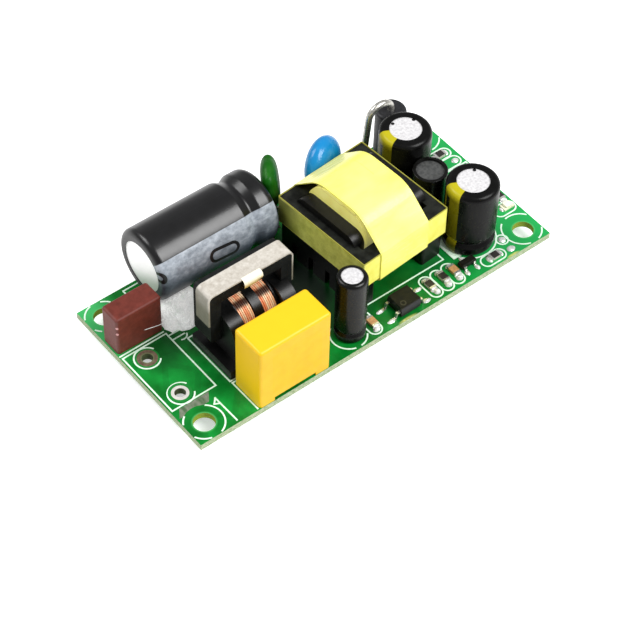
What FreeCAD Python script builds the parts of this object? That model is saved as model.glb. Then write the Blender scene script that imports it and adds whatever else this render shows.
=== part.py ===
import FreeCAD
import Part
import math
import os

# Open frame power supply: a bare board with its parts standing on it.
# Millimetres. X runs along the board from the mains end to the output end,
# Y across it towards the large capacitor, Z up. The origin is the centre of
# the four corner holes, on the underside of the board.

# Circuit board
board_length = 70.0
board_width = 32.4
board_thickness = 1.2
corner_hole_dia = 3.5
corner_pitch_x = 64.0
corner_pitch_y = 26.0

# Leads, their holes and solder
tail_length = 2.0
hole_slack = 0.15
fit_gap = 0.03
solder_height = 1.3
solder_foot = 0.65
solder_film = 0.1
solder_tip = 0.14

# Plated pads for the wires
pad_film = 0.08
pad_plating = 0.1
input_hole_dia = 1.8
input_pad_dia = 3.8
input_pad_x = -31.6
input_pad_y = -2.1
input_pad_pitch = 8.5
output_hole_dia = 1.2
output_pad_dia = 2.8
output_pad_x = 32.3
output_pad_y = -0.64
output_pad_pitch = 5.08

# Fuse in its moulded case
fuse_x = -30.5
fuse_y = 7.35
fuse_length = 8.4
fuse_width = 4.0
fuse_height = 7.8
fuse_corner = 0.45
fuse_pitch = 5.08
fuse_lead_dia = 0.6

# Mains filter capacitor, a potted box
x_cap_x = -17.15
x_cap_y = -12.95
x_cap_length = 13.5
x_cap_width = 6.4
x_cap_height = 12.7
x_cap_corner = 0.55
x_cap_wall = 0.6
x_cap_foot_height = 0.7
x_cap_foot_length = 2.8
x_cap_recess = 0.9
x_cap_pitch = 10.0
x_cap_lead_dia = 0.7

# Common mode choke, a loop of two U cores standing on its bobbin
choke_x = -16.4
choke_y = -2.1
choke_core_width = 15.4
choke_core_depth = 4.2
choke_core_top = 14.3
choke_bar = 2.0
choke_yoke = 2.0
choke_corner = 0.8
choke_axis_height = 4.9
choke_tube_gap = 0.1
choke_tube_wall = 0.5
choke_coil_shift = 0.4
choke_flange_width = 1.6
choke_flange_radius = 4.4
choke_section = 2.5
choke_coil_radius = 4.15
choke_side_flange = 0.4
choke_side_radius = 4.3
choke_turns = 9
choke_block_length = 2.5
choke_block_front = 5.6
choke_block_back = 2.9
choke_block_top = 9.3
choke_block_round = 3.4
choke_rail_height = 1.7
choke_rail_overhang = 0.9
choke_rail_front = 6.9
choke_bridge_depth = 1.1
choke_pitch_x = 10.0
choke_pitch_y = 7.5
choke_pin_shift = -1.6
choke_pin_dia = 0.65
choke_strap_width = 3.2
choke_strap_thickness = 0.27
choke_strap_reach = 6.3
choke_tab_width = 3.9
choke_tab_drop = 1.9
choke_tab_lap = 0.3
choke_tab_thickness = 0.16

# Main electrolytic capacitor, lying along the board
bulk_left = -24.6
bulk_y = 12.95
bulk_length = 22.35
bulk_radius = 6.06
bulk_lift = 0.45
bulk_shoulder = 0.9
bulk_disc_radius = 4.4
bulk_groove_from_end = 4.4
bulk_groove_width = 1.5
bulk_groove_depth = 0.7
bulk_rim = 1.4
bulk_pitch = 5.0
bulk_lead_dia = 0.8
bulk_lead_reach = 0.85
bulk_lead_bend = 0.6

# Sleeves of the round capacitors
sleeve_thickness = 0.13
bung_thickness = 1.0
bung_depth = 0.25

# Transformer, two E cores around a lying bobbin, turned a little on the board
trafo_x = 8.45
trafo_y = -0.35
trafo_turn = 4.3
trafo_core_length = 17.7
trafo_core_width = 19.2
trafo_core_height = 5.3
trafo_core_base = 5.7
trafo_yoke = 1.9
trafo_side_leg = 2.4
trafo_mid_leg = 4.8
trafo_tube_gap = 0.1
trafo_tube_wall = 0.7
trafo_flange_width = 1.3
trafo_far_flange_width = 2.1
trafo_flange_gap = 0.06
trafo_flange_side = 0.2
trafo_flange_notch = 0.8
trafo_flange_rise = 1.6
trafo_flange_round = 2.0
trafo_lip = 0.75
trafo_coil_side = 0.9
trafo_coil_rise = 4.3
trafo_coil_round = 4.8
trafo_coil_tape = 0.3
trafo_margin = 1.2
trafo_band = 0.15
trafo_band_lap = 0.1
trafo_wrap = 0.2
trafo_wrap_inset = 0.05
trafo_wrap_under = 0.4
trafo_rail_overhang = 0.25
trafo_rail_inset = 0.6
trafo_rail_gap = 0.15
trafo_rail_slot = 1.0
trafo_pins = 5
trafo_pin_pitch = 3.8
trafo_pin_inset = 1.6
trafo_pin_dia = 0.7

# Output capacitors, standing
output_front_x = 23.81
output_front_y = -8.76
output_rear_x = 22.75
output_rear_y = 6.46
output_radius = 4.15
output_height = 12.85
output_shoulder = 0.75
output_disc_radius = 2.66
output_groove_from_end = 2.3
output_groove_width = 0.8
output_groove_depth = 0.5
output_rim = 0.7
output_pitch = 3.5
output_lead_dia = 0.6

# Small capacitor beside the transformer
supply_x = -3.75
supply_y = -12.65
supply_radius = 2.35
supply_height = 12.95
supply_shoulder = 0.55
supply_disc_radius = 1.72
supply_groove_from_end = 1.8
supply_groove_width = 0.6
supply_groove_depth = 0.35
supply_rim = 0.5
supply_pitch = 2.0
supply_lead_dia = 0.5

# Drum inductor in its sleeve
drum_x = 22.0
drum_y = -0.75
drum_radius = 2.66
drum_height = 10.2
drum_flange = 1.3
drum_neck = 1.1
drum_coil_radius = 2.15
drum_recess = 0.45
drum_lip = 0.37
drum_sleeve_wall = 0.16
drum_pitch = 3.0
drum_lead_dia = 0.6

# Output diode, standing on one end
diode_x = 25.6
diode_y = 13.4
diode_radius = 2.6
diode_length = 10.0
diode_base = 0.4
diode_round = 0.5
diode_rise = 0.1
diode_loop = 2.25
diode_spread = 1.2
diode_knee = 1.0
diode_knee_bend = 2.0
diode_lead_dia = 1.2

# Disc capacitor across the isolation gap
y_cap_x = 11.0
y_cap_clear = 3.55
y_cap_turn = 26.0
y_cap_lean = 8.0
y_cap_centre = 7.0
y_cap_radius = 4.95
y_cap_thickness = 3.9
y_cap_edge = 1.7
y_cap_pitch = 5.0
y_cap_skirt_dia = 1.5
y_cap_skirt_base = 1.7
y_cap_lead_dia = 0.6

# Dipped film capacitor, leaning towards the large capacitor
film_x = 0.95
film_y = 13.65
film_turn = 76.0
film_lean = 8.0
film_centre = 9.5
film_width = 6.4
film_height = 7.7
film_thickness = 2.5
film_edge = 1.15
film_pitch = 3.8
film_lead_shift = 0.5
film_skirt_dia = 1.4
film_skirt_base = 4.6
film_lead_dia = 0.6

# Gull wing packages: body length across the leads, width, height, lift
opto_x = 6.35
opto_y = -13.65
opto_length = 4.0
opto_width = 3.6
opto_height = 2.0
opto_lift = 0.15
opto_span = 7.4
opto_foot = 1.0
opto_lead_width = 0.45
opto_lead_thickness = 0.2
opto_pitch = 2.54

regulator_x = 19.85
regulator_y = -13.15
regulator_length = 1.3
regulator_width = 2.9
regulator_height = 1.0
regulator_lift = 0.1
regulator_span = 2.6
regulator_foot = 0.45
regulator_lead_width = 0.42
regulator_lead_thickness = 0.14
regulator_pitch = 1.9

controller_x = -5.5
controller_y = 4.0
controller_length = 3.9
controller_width = 4.9
controller_height = 1.4
controller_lift = 0.1
controller_span = 6.0
controller_foot = 0.7
controller_lead_width = 0.42
controller_lead_thickness = 0.2
controller_pitch = 1.27

bridge_x = -26.2
bridge_y = -2.0
bridge_length = 4.4
bridge_width = 5.0
bridge_height = 1.35
bridge_lift = 0.1
bridge_span = 7.0
bridge_foot = 0.9
bridge_lead_width = 0.65
bridge_lead_thickness = 0.22
bridge_pitch = 4.0

package_draft = 0.12

# Chip parts: length, width, height, metal end, solder run-out
small_chip = (2.0, 1.25, 0.55, 0.35, 0.75)
large_chip = (3.2, 1.6, 0.6, 0.45, 0.8)
chip_solder_rise = 0.8

# Places of the chip parts: x, y, turn in degrees
top_resistors = [(12.27, -12.92, 90), (15.0, -12.98, 90), (24.5, -14.56, 0), (32.1, 7.85, 0), (33.75, -5.1, 90)]
top_capacitors = [(0.2, -13.3, 90), (17.3, -12.91, 90)]
under_resistors = [(-9.0, 9.0, 0), (-9.0, 12.0, 0), (4.5, 11.0, 90), (12.5, -6.5, 0), (18.5, 0.5, 90)]
under_capacitors = [(27.5, 0.0, 90)]
trafo_left_chip = 2.95
trafo_left_chip_y = -1.5
trafo_right_chip = 1.05
trafo_right_chip_y = 5.0

# Indicator light on the output edge
led_x = 33.3
led_y = -7.6
led_length = 2.0
led_width = 1.3
led_base = 0.35
led_lens_length = 1.3
led_lens_height = 0.45

# Silicone that holds the lying capacitor
silicone_left = -26.2
silicone_right = -17.6
silicone_front = 2.6
silicone_notch_x = -24.6
silicone_notch_y = 5.2
silicone_height = 3.5
silicone_slope = 4.8
silicone_round = 0.6
silicone_crown = 2.0

os.makedirs("parts", exist_ok=True)
vec = FreeCAD.Vector
axis_x = vec(1, 0, 0)
axis_y = vec(0, 1, 0)
axis_z = vec(0, 0, 1)
origin = vec(0, 0, 0)
drop = board_thickness + tail_length
pieces = {}
drilled = []


# Outlines and solids

def outline(corners, place):
    """Closed wire through corners (u, v, radius); place turns (u, v) into a point."""
    tangents = []
    count = len(corners)
    for i in range(count):
        u, v, radius = corners[i]
        here = vec(u, v, 0)
        before = vec(corners[i - 1][0], corners[i - 1][1], 0) - here
        after = vec(corners[(i + 1) % count][0], corners[(i + 1) % count][1], 0) - here
        if radius <= 0:
            tangents.append((here, None, here))
            continue
        half = before.getAngle(after) / 2
        before.normalize()
        after.normalize()
        reach = radius / math.tan(half)
        middle = before + after
        middle.normalize()
        inset = radius / math.sin(half) - radius
        tangents.append((here + before * reach, here + middle * inset, here + after * reach))
    edges = []
    for i in range(count):
        first, bulge, last = tangents[i]
        following = tangents[(i + 1) % count][0]
        if bulge is not None:
            edges.append(Part.Arc(place(first), place(bulge), place(last)).toShape())
        if (following - last).Length > 1e-6:
            edges.append(Part.LineSegment(place(last), place(following)).toShape())
    return Part.Wire(edges)


def flat(corners):
    return Part.Face(outline(corners, lambda p: vec(p.x, p.y, 0)))


def slab(corners, base, height):
    """Outline in plan, from base up."""
    shape = flat(corners).extrude(vec(0, 0, height))
    shape.translate(vec(0, 0, base))
    return shape


def bar_x(corners, start, end):
    """Outline in (y, z), drawn out along X."""
    face = Part.Face(outline(corners, lambda p: vec(start, p.x, p.y)))
    return face.extrude(vec(end - start, 0, 0))


def bar_y(corners, start, end):
    """Outline in (x, z), drawn out along Y."""
    face = Part.Face(outline(corners, lambda p: vec(p.x, start, p.y)))
    return face.extrude(vec(0, end - start, 0))


def turned(corners):
    """Outline in (radius, height), turned about Z."""
    face = Part.Face(outline(corners, lambda p: vec(p.x, 0, p.y)))
    return face.revolve(origin, axis_z, 360)


def box(low, high):
    return Part.makeBox(high[0] - low[0], high[1] - low[1], high[2] - low[2], vec(*low))


def rectangle(low, high, radius=0):
    return [(low[0], low[1], radius), (high[0], low[1], radius), (high[0], high[1], radius), (low[0], high[1], radius)]


def soft_box(length, width, height, radius, base=0):
    """Box centred in plan, rounded on its upright and top edges."""
    half_x = length / 2
    half_y = width / 2
    shape = slab(rectangle((-half_x, -half_y), (half_x, half_y), radius), base, height)
    top = [edge for edge in shape.Edges if all(abs(v.Z - base - height) < 1e-6 for v in edge.Vertexes)]
    return shape.makeFillet(radius * 0.98, top)


def placed(shape, x, y, z=0.0, turn=0.0):
    result = shape.copy()
    result.rotate(origin, axis_z, turn)
    result.translate(vec(x, y, z))
    return result


def seated(shape, x, y, turn=0.0):
    """On the upper face of the board."""
    return placed(shape, x, y, board_thickness, turn)


def hung(shape, x, y, turn=0.0):
    """Under the board, upside down."""
    result = shape.copy()
    result.rotate(origin, axis_x, 180)
    return placed(result, x, y, 0.0, turn)


def spots(x, y, local, turn=0.0):
    angle = math.radians(turn)
    found = []
    for u, v in local:
        found.append((x + u * math.cos(angle) - v * math.sin(angle), y + u * math.sin(angle) + v * math.cos(angle)))
    return found


def row(count, pitch):
    return [(i - (count - 1) / 2) * pitch for i in range(count)]


def drill(places, dia):
    for x, y in places:
        drilled.append((x, y, dia))


def straight_leads(places, dia, top):
    """Round leads from a body, top above the board, through it to the cut tails."""
    drill(places, dia)
    shapes = []
    for x, y in places:
        shapes.append(placed(Part.makeCylinder(dia / 2, drop + top, vec(0, 0, -drop)), x, y, board_thickness))
    return shapes


def keep(name, shapes):
    if not isinstance(shapes, list):
        shapes = [shapes]
    pieces[name] = shapes


# Fuse

keep("fuse_body", seated(soft_box(fuse_length, fuse_width, fuse_height, fuse_corner), fuse_x, fuse_y))
fuse_spots = spots(fuse_x, fuse_y, [(u, 0) for u in row(2, fuse_pitch)])
keep("fuse_leads", straight_leads(fuse_spots, fuse_lead_dia, 0))


# Mains filter capacitor

def x_cap_shell():
    case = soft_box(x_cap_length, x_cap_width, x_cap_height, x_cap_corner)
    inner_x = x_cap_length / 2 - x_cap_wall
    inner_y = x_cap_width / 2 - x_cap_wall
    case = case.cut(box((-inner_x, -inner_y, 0), (inner_x, inner_y, x_cap_height - x_cap_wall)))
    gap = x_cap_length / 2 - x_cap_foot_length
    return case.cut(box((-gap, -x_cap_width, 0), (gap, x_cap_width, x_cap_foot_height)))


def x_cap_fill():
    inner_x = x_cap_length / 2 - x_cap_wall
    inner_y = x_cap_width / 2 - x_cap_wall
    return box((-inner_x, -inner_y, x_cap_recess), (inner_x, inner_y, x_cap_height - x_cap_wall))


keep("x_cap_case", seated(x_cap_shell(), x_cap_x, x_cap_y))
keep("x_cap_potting", seated(x_cap_fill(), x_cap_x, x_cap_y))
x_cap_spots = spots(x_cap_x, x_cap_y, [(u, 0) for u in row(2, x_cap_pitch)])
keep("x_cap_leads", straight_leads(x_cap_spots, x_cap_lead_dia, x_cap_recess))


# Common mode choke, drawn about the middle of its core

choke_half = choke_core_width / 2
choke_core_bottom = choke_axis_height - choke_bar / 2
choke_face = choke_core_depth / 2
choke_inner = choke_half - choke_yoke


def choke_loop_corners(grow, low, radius):
    side = choke_half + grow
    high = choke_core_top + grow
    return [(-side, low, 0), (side, low, 0), (side, high, radius), (-side, high, radius)]


def choke_u(side):
    """One U core, its open ends at the middle of the loop."""
    loop = bar_y(rectangle((-choke_half, choke_core_bottom), (choke_half, choke_core_top), choke_corner), -choke_face, choke_face)
    window_low = choke_core_bottom + choke_bar
    window_high = choke_core_top - choke_bar
    loop = loop.cut(box((-choke_inner, -choke_core_depth, window_low), (choke_inner, choke_core_depth, window_high)))
    end = side * choke_core_width
    half = box((min(0, end), -choke_core_depth, 0), (max(0, end), choke_core_depth, 2 * choke_core_top))
    return loop.common(half)


def choke_tube_corners(grow):
    half_y = choke_face + choke_tube_gap + choke_tube_wall + grow
    half_z = choke_bar / 2 + choke_tube_gap + choke_tube_wall + grow
    return rectangle((-half_y, choke_axis_height - half_z), (half_y, choke_axis_height + half_z))


def across_choke(shape, start):
    """A solid turned about Z, laid along the coil axis."""
    shape.rotate(origin, axis_y, 90)
    shape.translate(vec(start, 0, choke_axis_height))
    return shape


def choke_former():
    shift = choke_coil_shift
    coil_end = choke_flange_width / 2 + choke_section
    disc_end = coil_end + choke_side_flange
    block_end = disc_end + choke_block_length
    body = bar_x(choke_tube_corners(0), shift - coil_end, shift + coil_end)
    middle = across_choke(Part.makeCylinder(choke_flange_radius, choke_flange_width), shift - choke_flange_width / 2)
    body = body.fuse(middle)
    for side in (-1, 1):
        corners = [
            (-choke_block_front, 0, 0),
            (choke_block_back, 0, 0),
            (choke_block_back, choke_block_top, choke_block_round / 2),
            (-choke_block_front, choke_block_top, choke_block_round),
        ]
        disc = across_choke(Part.makeCylinder(choke_side_radius, choke_side_flange), shift + min(side * coil_end, side * disc_end))
        block = bar_x(corners, shift + side * disc_end, shift + side * block_end)
        rail_start = shift + side * coil_end
        rail_end = side * (choke_half - choke_yoke / 2 + choke_rail_overhang)
        rail = box(
            (min(rail_start, rail_end), -choke_rail_front, 0),
            (max(rail_start, rail_end), choke_block_back, choke_rail_height),
        )
        body = body.fuse([disc, block, rail])
    foot = -choke_rail_front
    bridge = box((shift - coil_end, foot, choke_rail_height / 3), (shift + coil_end, foot + choke_bridge_depth, choke_rail_height))
    body = body.fuse(bridge)
    room = across_choke(Part.makeCylinder(choke_coil_radius + choke_tube_gap, 2 * coil_end), shift - coil_end)
    body = body.cut(room.cut([bar_x(choke_tube_corners(0), shift - coil_end, shift + coil_end), middle]))
    gap = choke_tube_gap
    leg = box(
        (-choke_half - gap, -choke_face - gap, choke_core_bottom - gap),
        (choke_half + gap, choke_face + gap, choke_core_bottom + choke_bar + gap),
    )
    body = body.cut(leg)
    for side in (-1, 1):
        yoke = box(
            (min(side * (choke_inner - gap), side * (choke_half + gap)), -choke_face - gap, choke_core_bottom - gap),
            (max(side * (choke_inner - gap), side * (choke_half + gap)), choke_face + gap, choke_core_top),
        )
        body = body.cut(yoke)
    return body.removeSplitter()


def choke_coil(side):
    """A section of wound wire, each turn a rounded ridge."""
    pitch = (choke_section - 2 * fit_gap) / choke_turns
    radius = choke_coil_radius - pitch / 2
    points = []
    edges = []
    for i in range(choke_turns):
        low = vec(radius, 0, i * pitch)
        high = vec(radius, 0, (i + 1) * pitch)
        crest = vec(radius + pitch / 2, 0, (i + 0.5) * pitch)
        edges.append(Part.Arc(low, crest, high).toShape())
    inner = choke_bar / 2
    points = [vec(radius, 0, choke_turns * pitch), vec(inner, 0, choke_turns * pitch), vec(inner, 0, 0), vec(radius, 0, 0)]
    for i in range(3):
        edges.append(Part.LineSegment(points[i], points[i + 1]).toShape())
    solid = Part.Face(Part.Wire(edges)).revolve(origin, axis_z, 360)
    start = choke_flange_width / 2 + fit_gap
    if side < 0:
        start = -start - choke_turns * pitch
    solid = across_choke(solid, choke_coil_shift + start)
    return solid.cut(bar_x(choke_tube_corners(fit_gap), -choke_half, choke_half))


def choke_strap():
    """Tape over the loop and down both of its sides."""
    low = choke_core_top - choke_strap_reach
    start = -choke_face
    end = start + choke_strap_width
    outer = bar_y(choke_loop_corners(fit_gap + choke_strap_thickness, low, choke_corner + choke_strap_thickness), start, end)
    inner = bar_y(choke_loop_corners(fit_gap, low, choke_corner), start - 1, end + 1)
    return outer.cut(inner)


def choke_tab():
    """Short tape over the joint of the two cores, folded down the front."""
    top = choke_core_top + fit_gap + choke_strap_thickness
    front = -choke_face
    half = choke_tab_width / 2
    corners = [
        (front - choke_tab_thickness, top - choke_tab_drop, 0),
        (front, top - choke_tab_drop, 0),
        (front, top, 0),
        (front + choke_tab_lap, top, 0),
        (front + choke_tab_lap, top + choke_tab_thickness, 0),
        (front - choke_tab_thickness, top + choke_tab_thickness, choke_tab_thickness * 0.9),
    ]
    return bar_x(corners, -half, half)


keep("choke_core_left", seated(choke_u(-1), choke_x, choke_y))
keep("choke_core_right", seated(choke_u(1), choke_x, choke_y))
keep("choke_bobbin", seated(choke_former(), choke_x, choke_y))
keep("choke_winding_left", seated(choke_coil(-1), choke_x, choke_y))
keep("choke_winding_right", seated(choke_coil(1), choke_x, choke_y))
keep("choke_core_strap", seated(choke_strap(), choke_x, choke_y))
keep("choke_joint_tape", seated(choke_tab(), choke_x, choke_y))
choke_spots = spots(choke_x, choke_y + choke_pin_shift, [(u, v) for u in row(2, choke_pitch_x) for v in row(2, choke_pitch_y)])
keep("choke_pins", straight_leads(choke_spots, choke_pin_dia, 0))


# Round capacitors, drawn standing with the crimped end on the ground

def can_corners(size, grow):
    """Can outline in (radius, height), with the rolled groove near the crimped end."""
    radius, height, shoulder, groove_at, groove_width, groove_depth, rim = size
    side = radius + grow
    top = height + grow
    low = -grow
    middle = groove_at
    return [
        (0, low, 0),
        (side, low, rim),
        (side, middle - groove_width, groove_width * 0.4),
        (side - groove_depth, middle, groove_width * 0.4),
        (side, middle + groove_width, groove_width * 0.4),
        (side, top, shoulder + grow),
        (0, top, 0),
    ]


def bung_radius(size):
    return size[0] - size[6] - 0.2 * size[0]


def can_metal(size):
    can = turned(can_corners(size, 0))
    return can.cut(Part.makeCylinder(bung_radius(size) + fit_gap, bung_thickness, origin))


def can_sleeve(size, disc_radius):
    sleeve = turned(can_corners(size, fit_gap + sleeve_thickness)).cut(turned(can_corners(size, fit_gap)))
    height = size[1]
    sleeve = sleeve.cut(Part.makeCylinder(disc_radius, height, vec(0, 0, height / 2)))
    return sleeve.cut(Part.makeCylinder(bung_radius(size) + size[6] / 2, height / 2, vec(0, 0, -height / 4)))


def can_bung(size):
    return Part.makeCylinder(bung_radius(size), bung_thickness - bung_depth, vec(0, 0, bung_depth))


can_lift = fit_gap + sleeve_thickness

bulk_size = (
    bulk_radius,
    bulk_length,
    bulk_shoulder,
    bulk_groove_from_end,
    bulk_groove_width,
    bulk_groove_depth,
    bulk_rim,
)
output_size = (
    output_radius,
    output_height,
    output_shoulder,
    output_groove_from_end,
    output_groove_width,
    output_groove_depth,
    output_rim,
)
supply_size = (
    supply_radius,
    supply_height,
    supply_shoulder,
    supply_groove_from_end,
    supply_groove_width,
    supply_groove_depth,
    supply_rim,
)

bulk_axis_height = bulk_lift + bulk_radius + can_lift
bulk_end = bulk_left + can_lift + bulk_length


def laid(shape):
    """Standing capacitor turned to lie with its crimped end towards the output."""
    result = shape.copy()
    result.rotate(origin, axis_y, -90)
    return seated(placed(result, 0, 0, bulk_axis_height), bulk_end, bulk_y)


keep("bulk_can", laid(can_metal(bulk_size)))
keep("bulk_sleeve", laid(can_sleeve(bulk_size, bulk_disc_radius)))
keep("bulk_bung", laid(can_bung(bulk_size)))


def bent_lead(points, bends, dia):
    """Round wire along a path in one plane, its corners bent to the given radii."""
    edges = []
    last = points[0]
    for i in range(1, len(points) - 1):
        here = points[i]
        back = points[i - 1] - here
        ahead = points[i + 1] - here
        half = back.getAngle(ahead) / 2
        back.normalize()
        ahead.normalize()
        reach = bends[i - 1] / math.tan(half)
        middle = back + ahead
        middle.normalize()
        inset = bends[i - 1] / math.sin(half) - bends[i - 1]
        first = here + back * reach
        if (first - last).Length > 1e-6:
            edges.append(Part.LineSegment(last, first).toShape())
        end = here + ahead * reach
        edges.append(Part.Arc(first, here + middle * inset, end).toShape())
        last = end
    if (points[-1] - last).Length > 1e-6:
        edges.append(Part.LineSegment(last, points[-1]).toShape())
    path = Part.Wire(edges)
    section = Part.Wire(Part.makeCircle(dia / 2, points[0], points[1] - points[0]))
    return path.makePipeShell([section], True, False)


def bulk_lead(y):
    start = vec(bulk_end - bung_depth, y, board_thickness + bulk_axis_height)
    corner = vec(bulk_end + bulk_lead_reach, y, board_thickness + bulk_axis_height)
    end = vec(bulk_end + bulk_lead_reach, y, -tail_length)
    return bent_lead([start, corner, end], [bulk_lead_bend], bulk_lead_dia)


bulk_spots = spots(bulk_end + bulk_lead_reach, bulk_y, [(0, v) for v in row(2, bulk_pitch)])
drill(bulk_spots, bulk_lead_dia)
keep("bulk_leads", [bulk_lead(y) for x, y in bulk_spots])


def standing(shape, x, y, turn=0.0):
    return seated(placed(shape, 0, 0, can_lift), x, y, turn)


output_places = [(output_front_x, output_front_y), (output_rear_x, output_rear_y)]
keep("output_cans", [standing(can_metal(output_size), x, y) for x, y in output_places])
keep("output_sleeves", [standing(can_sleeve(output_size, output_disc_radius), x, y) for x, y in output_places])
keep("output_bungs", [standing(can_bung(output_size), x, y) for x, y in output_places])
output_spots = []
for x, y in output_places:
    output_spots += spots(x, y, [(u, 0) for u in row(2, output_pitch)])
keep("output_leads", straight_leads(output_spots, output_lead_dia, can_lift + bung_depth))

keep("supply_can", standing(can_metal(supply_size), supply_x, supply_y))
keep("supply_sleeve", standing(can_sleeve(supply_size, supply_disc_radius), supply_x, supply_y))
keep("supply_bung", standing(can_bung(supply_size), supply_x, supply_y))
supply_spots = spots(supply_x, supply_y, [(u, 0) for u in row(2, supply_pitch)])
keep("supply_leads", straight_leads(supply_spots, supply_lead_dia, can_lift + bung_depth))


# Transformer, drawn about the middle of its core

trafo_half_x = trafo_core_length / 2
trafo_half_y = trafo_core_width / 2
trafo_core_top = trafo_core_base + trafo_core_height
trafo_middle = trafo_core_base + trafo_core_height / 2
trafo_inner_x = trafo_half_x - trafo_yoke
trafo_inner_y = trafo_half_y - trafo_side_leg
trafo_flange_half = trafo_inner_y - trafo_flange_side
trafo_flange_top = trafo_core_top + trafo_flange_rise
trafo_coil_half_width = trafo_inner_y - trafo_coil_side
trafo_coil_half_height = trafo_core_height / 2 + trafo_coil_rise
trafo_rail_outer = trafo_half_x + trafo_rail_overhang
trafo_rail_half = trafo_half_y - trafo_rail_inset
trafo_pin_row = 2 * (trafo_rail_outer - trafo_pin_inset)
y_cap_y = trafo_y + trafo_half_y + y_cap_clear
trafo_chips = [
    (trafo_x - trafo_pin_row / 2 - trafo_left_chip, trafo_left_chip_y, 0),
    (trafo_x + trafo_pin_row / 2 + trafo_right_chip, trafo_right_chip_y, 0),
]
under_capacitors = trafo_chips + under_capacitors


def trafo_e(side):
    """One E core, the ends of its three legs at the middle."""
    core = box((0, -trafo_half_y, trafo_core_base), (trafo_half_x, trafo_half_y, trafo_core_top))
    for hand in (-1, 1):
        near = hand * trafo_mid_leg / 2
        far = hand * trafo_inner_y
        core = core.cut(box((0, min(near, far), 0), (trafo_inner_x, max(near, far), 2 * trafo_core_top)))
    if side < 0:
        core = core.mirror(origin, axis_x)
    return core


def trafo_tube(grow):
    half_y = trafo_mid_leg / 2 + trafo_tube_gap + grow
    half_z = trafo_core_height / 2 + trafo_tube_gap + grow
    return rectangle((-half_y, trafo_middle - half_z), (half_y, trafo_middle + half_z))


def trafo_flange_corners():
    low = trafo_core_base - trafo_rail_gap
    front = trafo_flange_notch - trafo_flange_half
    return [
        (front, low, 0),
        (trafo_flange_half, low, 0),
        (trafo_flange_half, trafo_flange_top, trafo_flange_round),
        (front, trafo_flange_top, trafo_flange_round),
    ]


def trafo_former():
    outer = trafo_inner_x - trafo_flange_gap
    body = bar_x(trafo_tube(trafo_tube_wall), -outer, outer)
    for side, width in ((-1, trafo_flange_width), (1, trafo_far_flange_width)):
        inner = outer - width
        flange = bar_x(trafo_flange_corners(), side * inner, side * outer)
        lip_base = trafo_core_top + trafo_flange_gap
        lip = bar_x(trafo_flange_corners(), side * outer, side * (outer + trafo_lip))
        lip = lip.common(box((-trafo_core_length, -trafo_core_width, lip_base), (trafo_core_length, trafo_core_width, 2 * lip_base)))
        rail_top = trafo_core_base - trafo_rail_gap
        rail = slab(
            rectangle(
                (min(side * inner, side * trafo_rail_outer), -trafo_rail_half),
                (max(side * inner, side * trafo_rail_outer), trafo_rail_half),
                0.5,
            ),
            0,
            rail_top,
        )
        body = body.fuse([flange, lip, rail])
        for i in range(trafo_pins - 1):
            y = (i - (trafo_pins - 2) / 2) * trafo_pin_pitch
            near = side * (trafo_rail_outer - trafo_rail_slot)
            far = side * (trafo_rail_outer + trafo_rail_slot)
            slot = box(
                (min(near, far), y - trafo_rail_slot / 2, 0),
                (max(near, far), y + trafo_rail_slot / 2, rail_top * 0.55),
            )
            body = body.cut(slot)
    body = body.cut(bar_x(trafo_tube(0), -trafo_core_length, trafo_core_length))
    return body.removeSplitter()


def trafo_coil_corners(grow):
    half_y = trafo_coil_half_width + grow
    half_z = trafo_coil_half_height + grow
    return rectangle((-half_y, trafo_middle - half_z), (half_y, trafo_middle + half_z), trafo_coil_round + grow)


trafo_coil_low = trafo_flange_gap + trafo_flange_width + fit_gap - trafo_inner_x
trafo_coil_high = trafo_inner_x - trafo_flange_gap - trafo_far_flange_width - fit_gap


def trafo_roll():
    low = trafo_coil_low + trafo_margin
    high = trafo_coil_high - trafo_margin
    coil = bar_x(trafo_coil_corners(0), low, high)
    return coil.cut(bar_x(trafo_tube(trafo_tube_wall + fit_gap), low, high))


def trafo_roll_tape():
    """Tape over the winding, with the rolled margins at its two ends."""
    room = trafo_margin - fit_gap
    tape = bar_x(trafo_coil_corners(fit_gap + trafo_coil_tape), trafo_coil_low, trafo_coil_high)
    tape = tape.cut(bar_x(trafo_coil_corners(fit_gap), trafo_coil_low + room, trafo_coil_high - room))
    return tape.cut(bar_x(trafo_tube(trafo_tube_wall + fit_gap), trafo_coil_low, trafo_coil_high))


def trafo_ring():
    """Tape band round the rim of the core."""
    grow = fit_gap + trafo_band
    inner = rectangle((-trafo_half_x - fit_gap, -trafo_half_y - fit_gap), (trafo_half_x + fit_gap, trafo_half_y + fit_gap), 0.1)
    outer = rectangle((-trafo_half_x - grow, -trafo_half_y - grow), (trafo_half_x + grow, trafo_half_y + grow), 0.1 + trafo_band)
    height = trafo_core_height + 2 * trafo_band_lap
    low = trafo_core_base - trafo_band_lap
    return slab(outer, low, height).cut(slab(inner, low, height))


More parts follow.
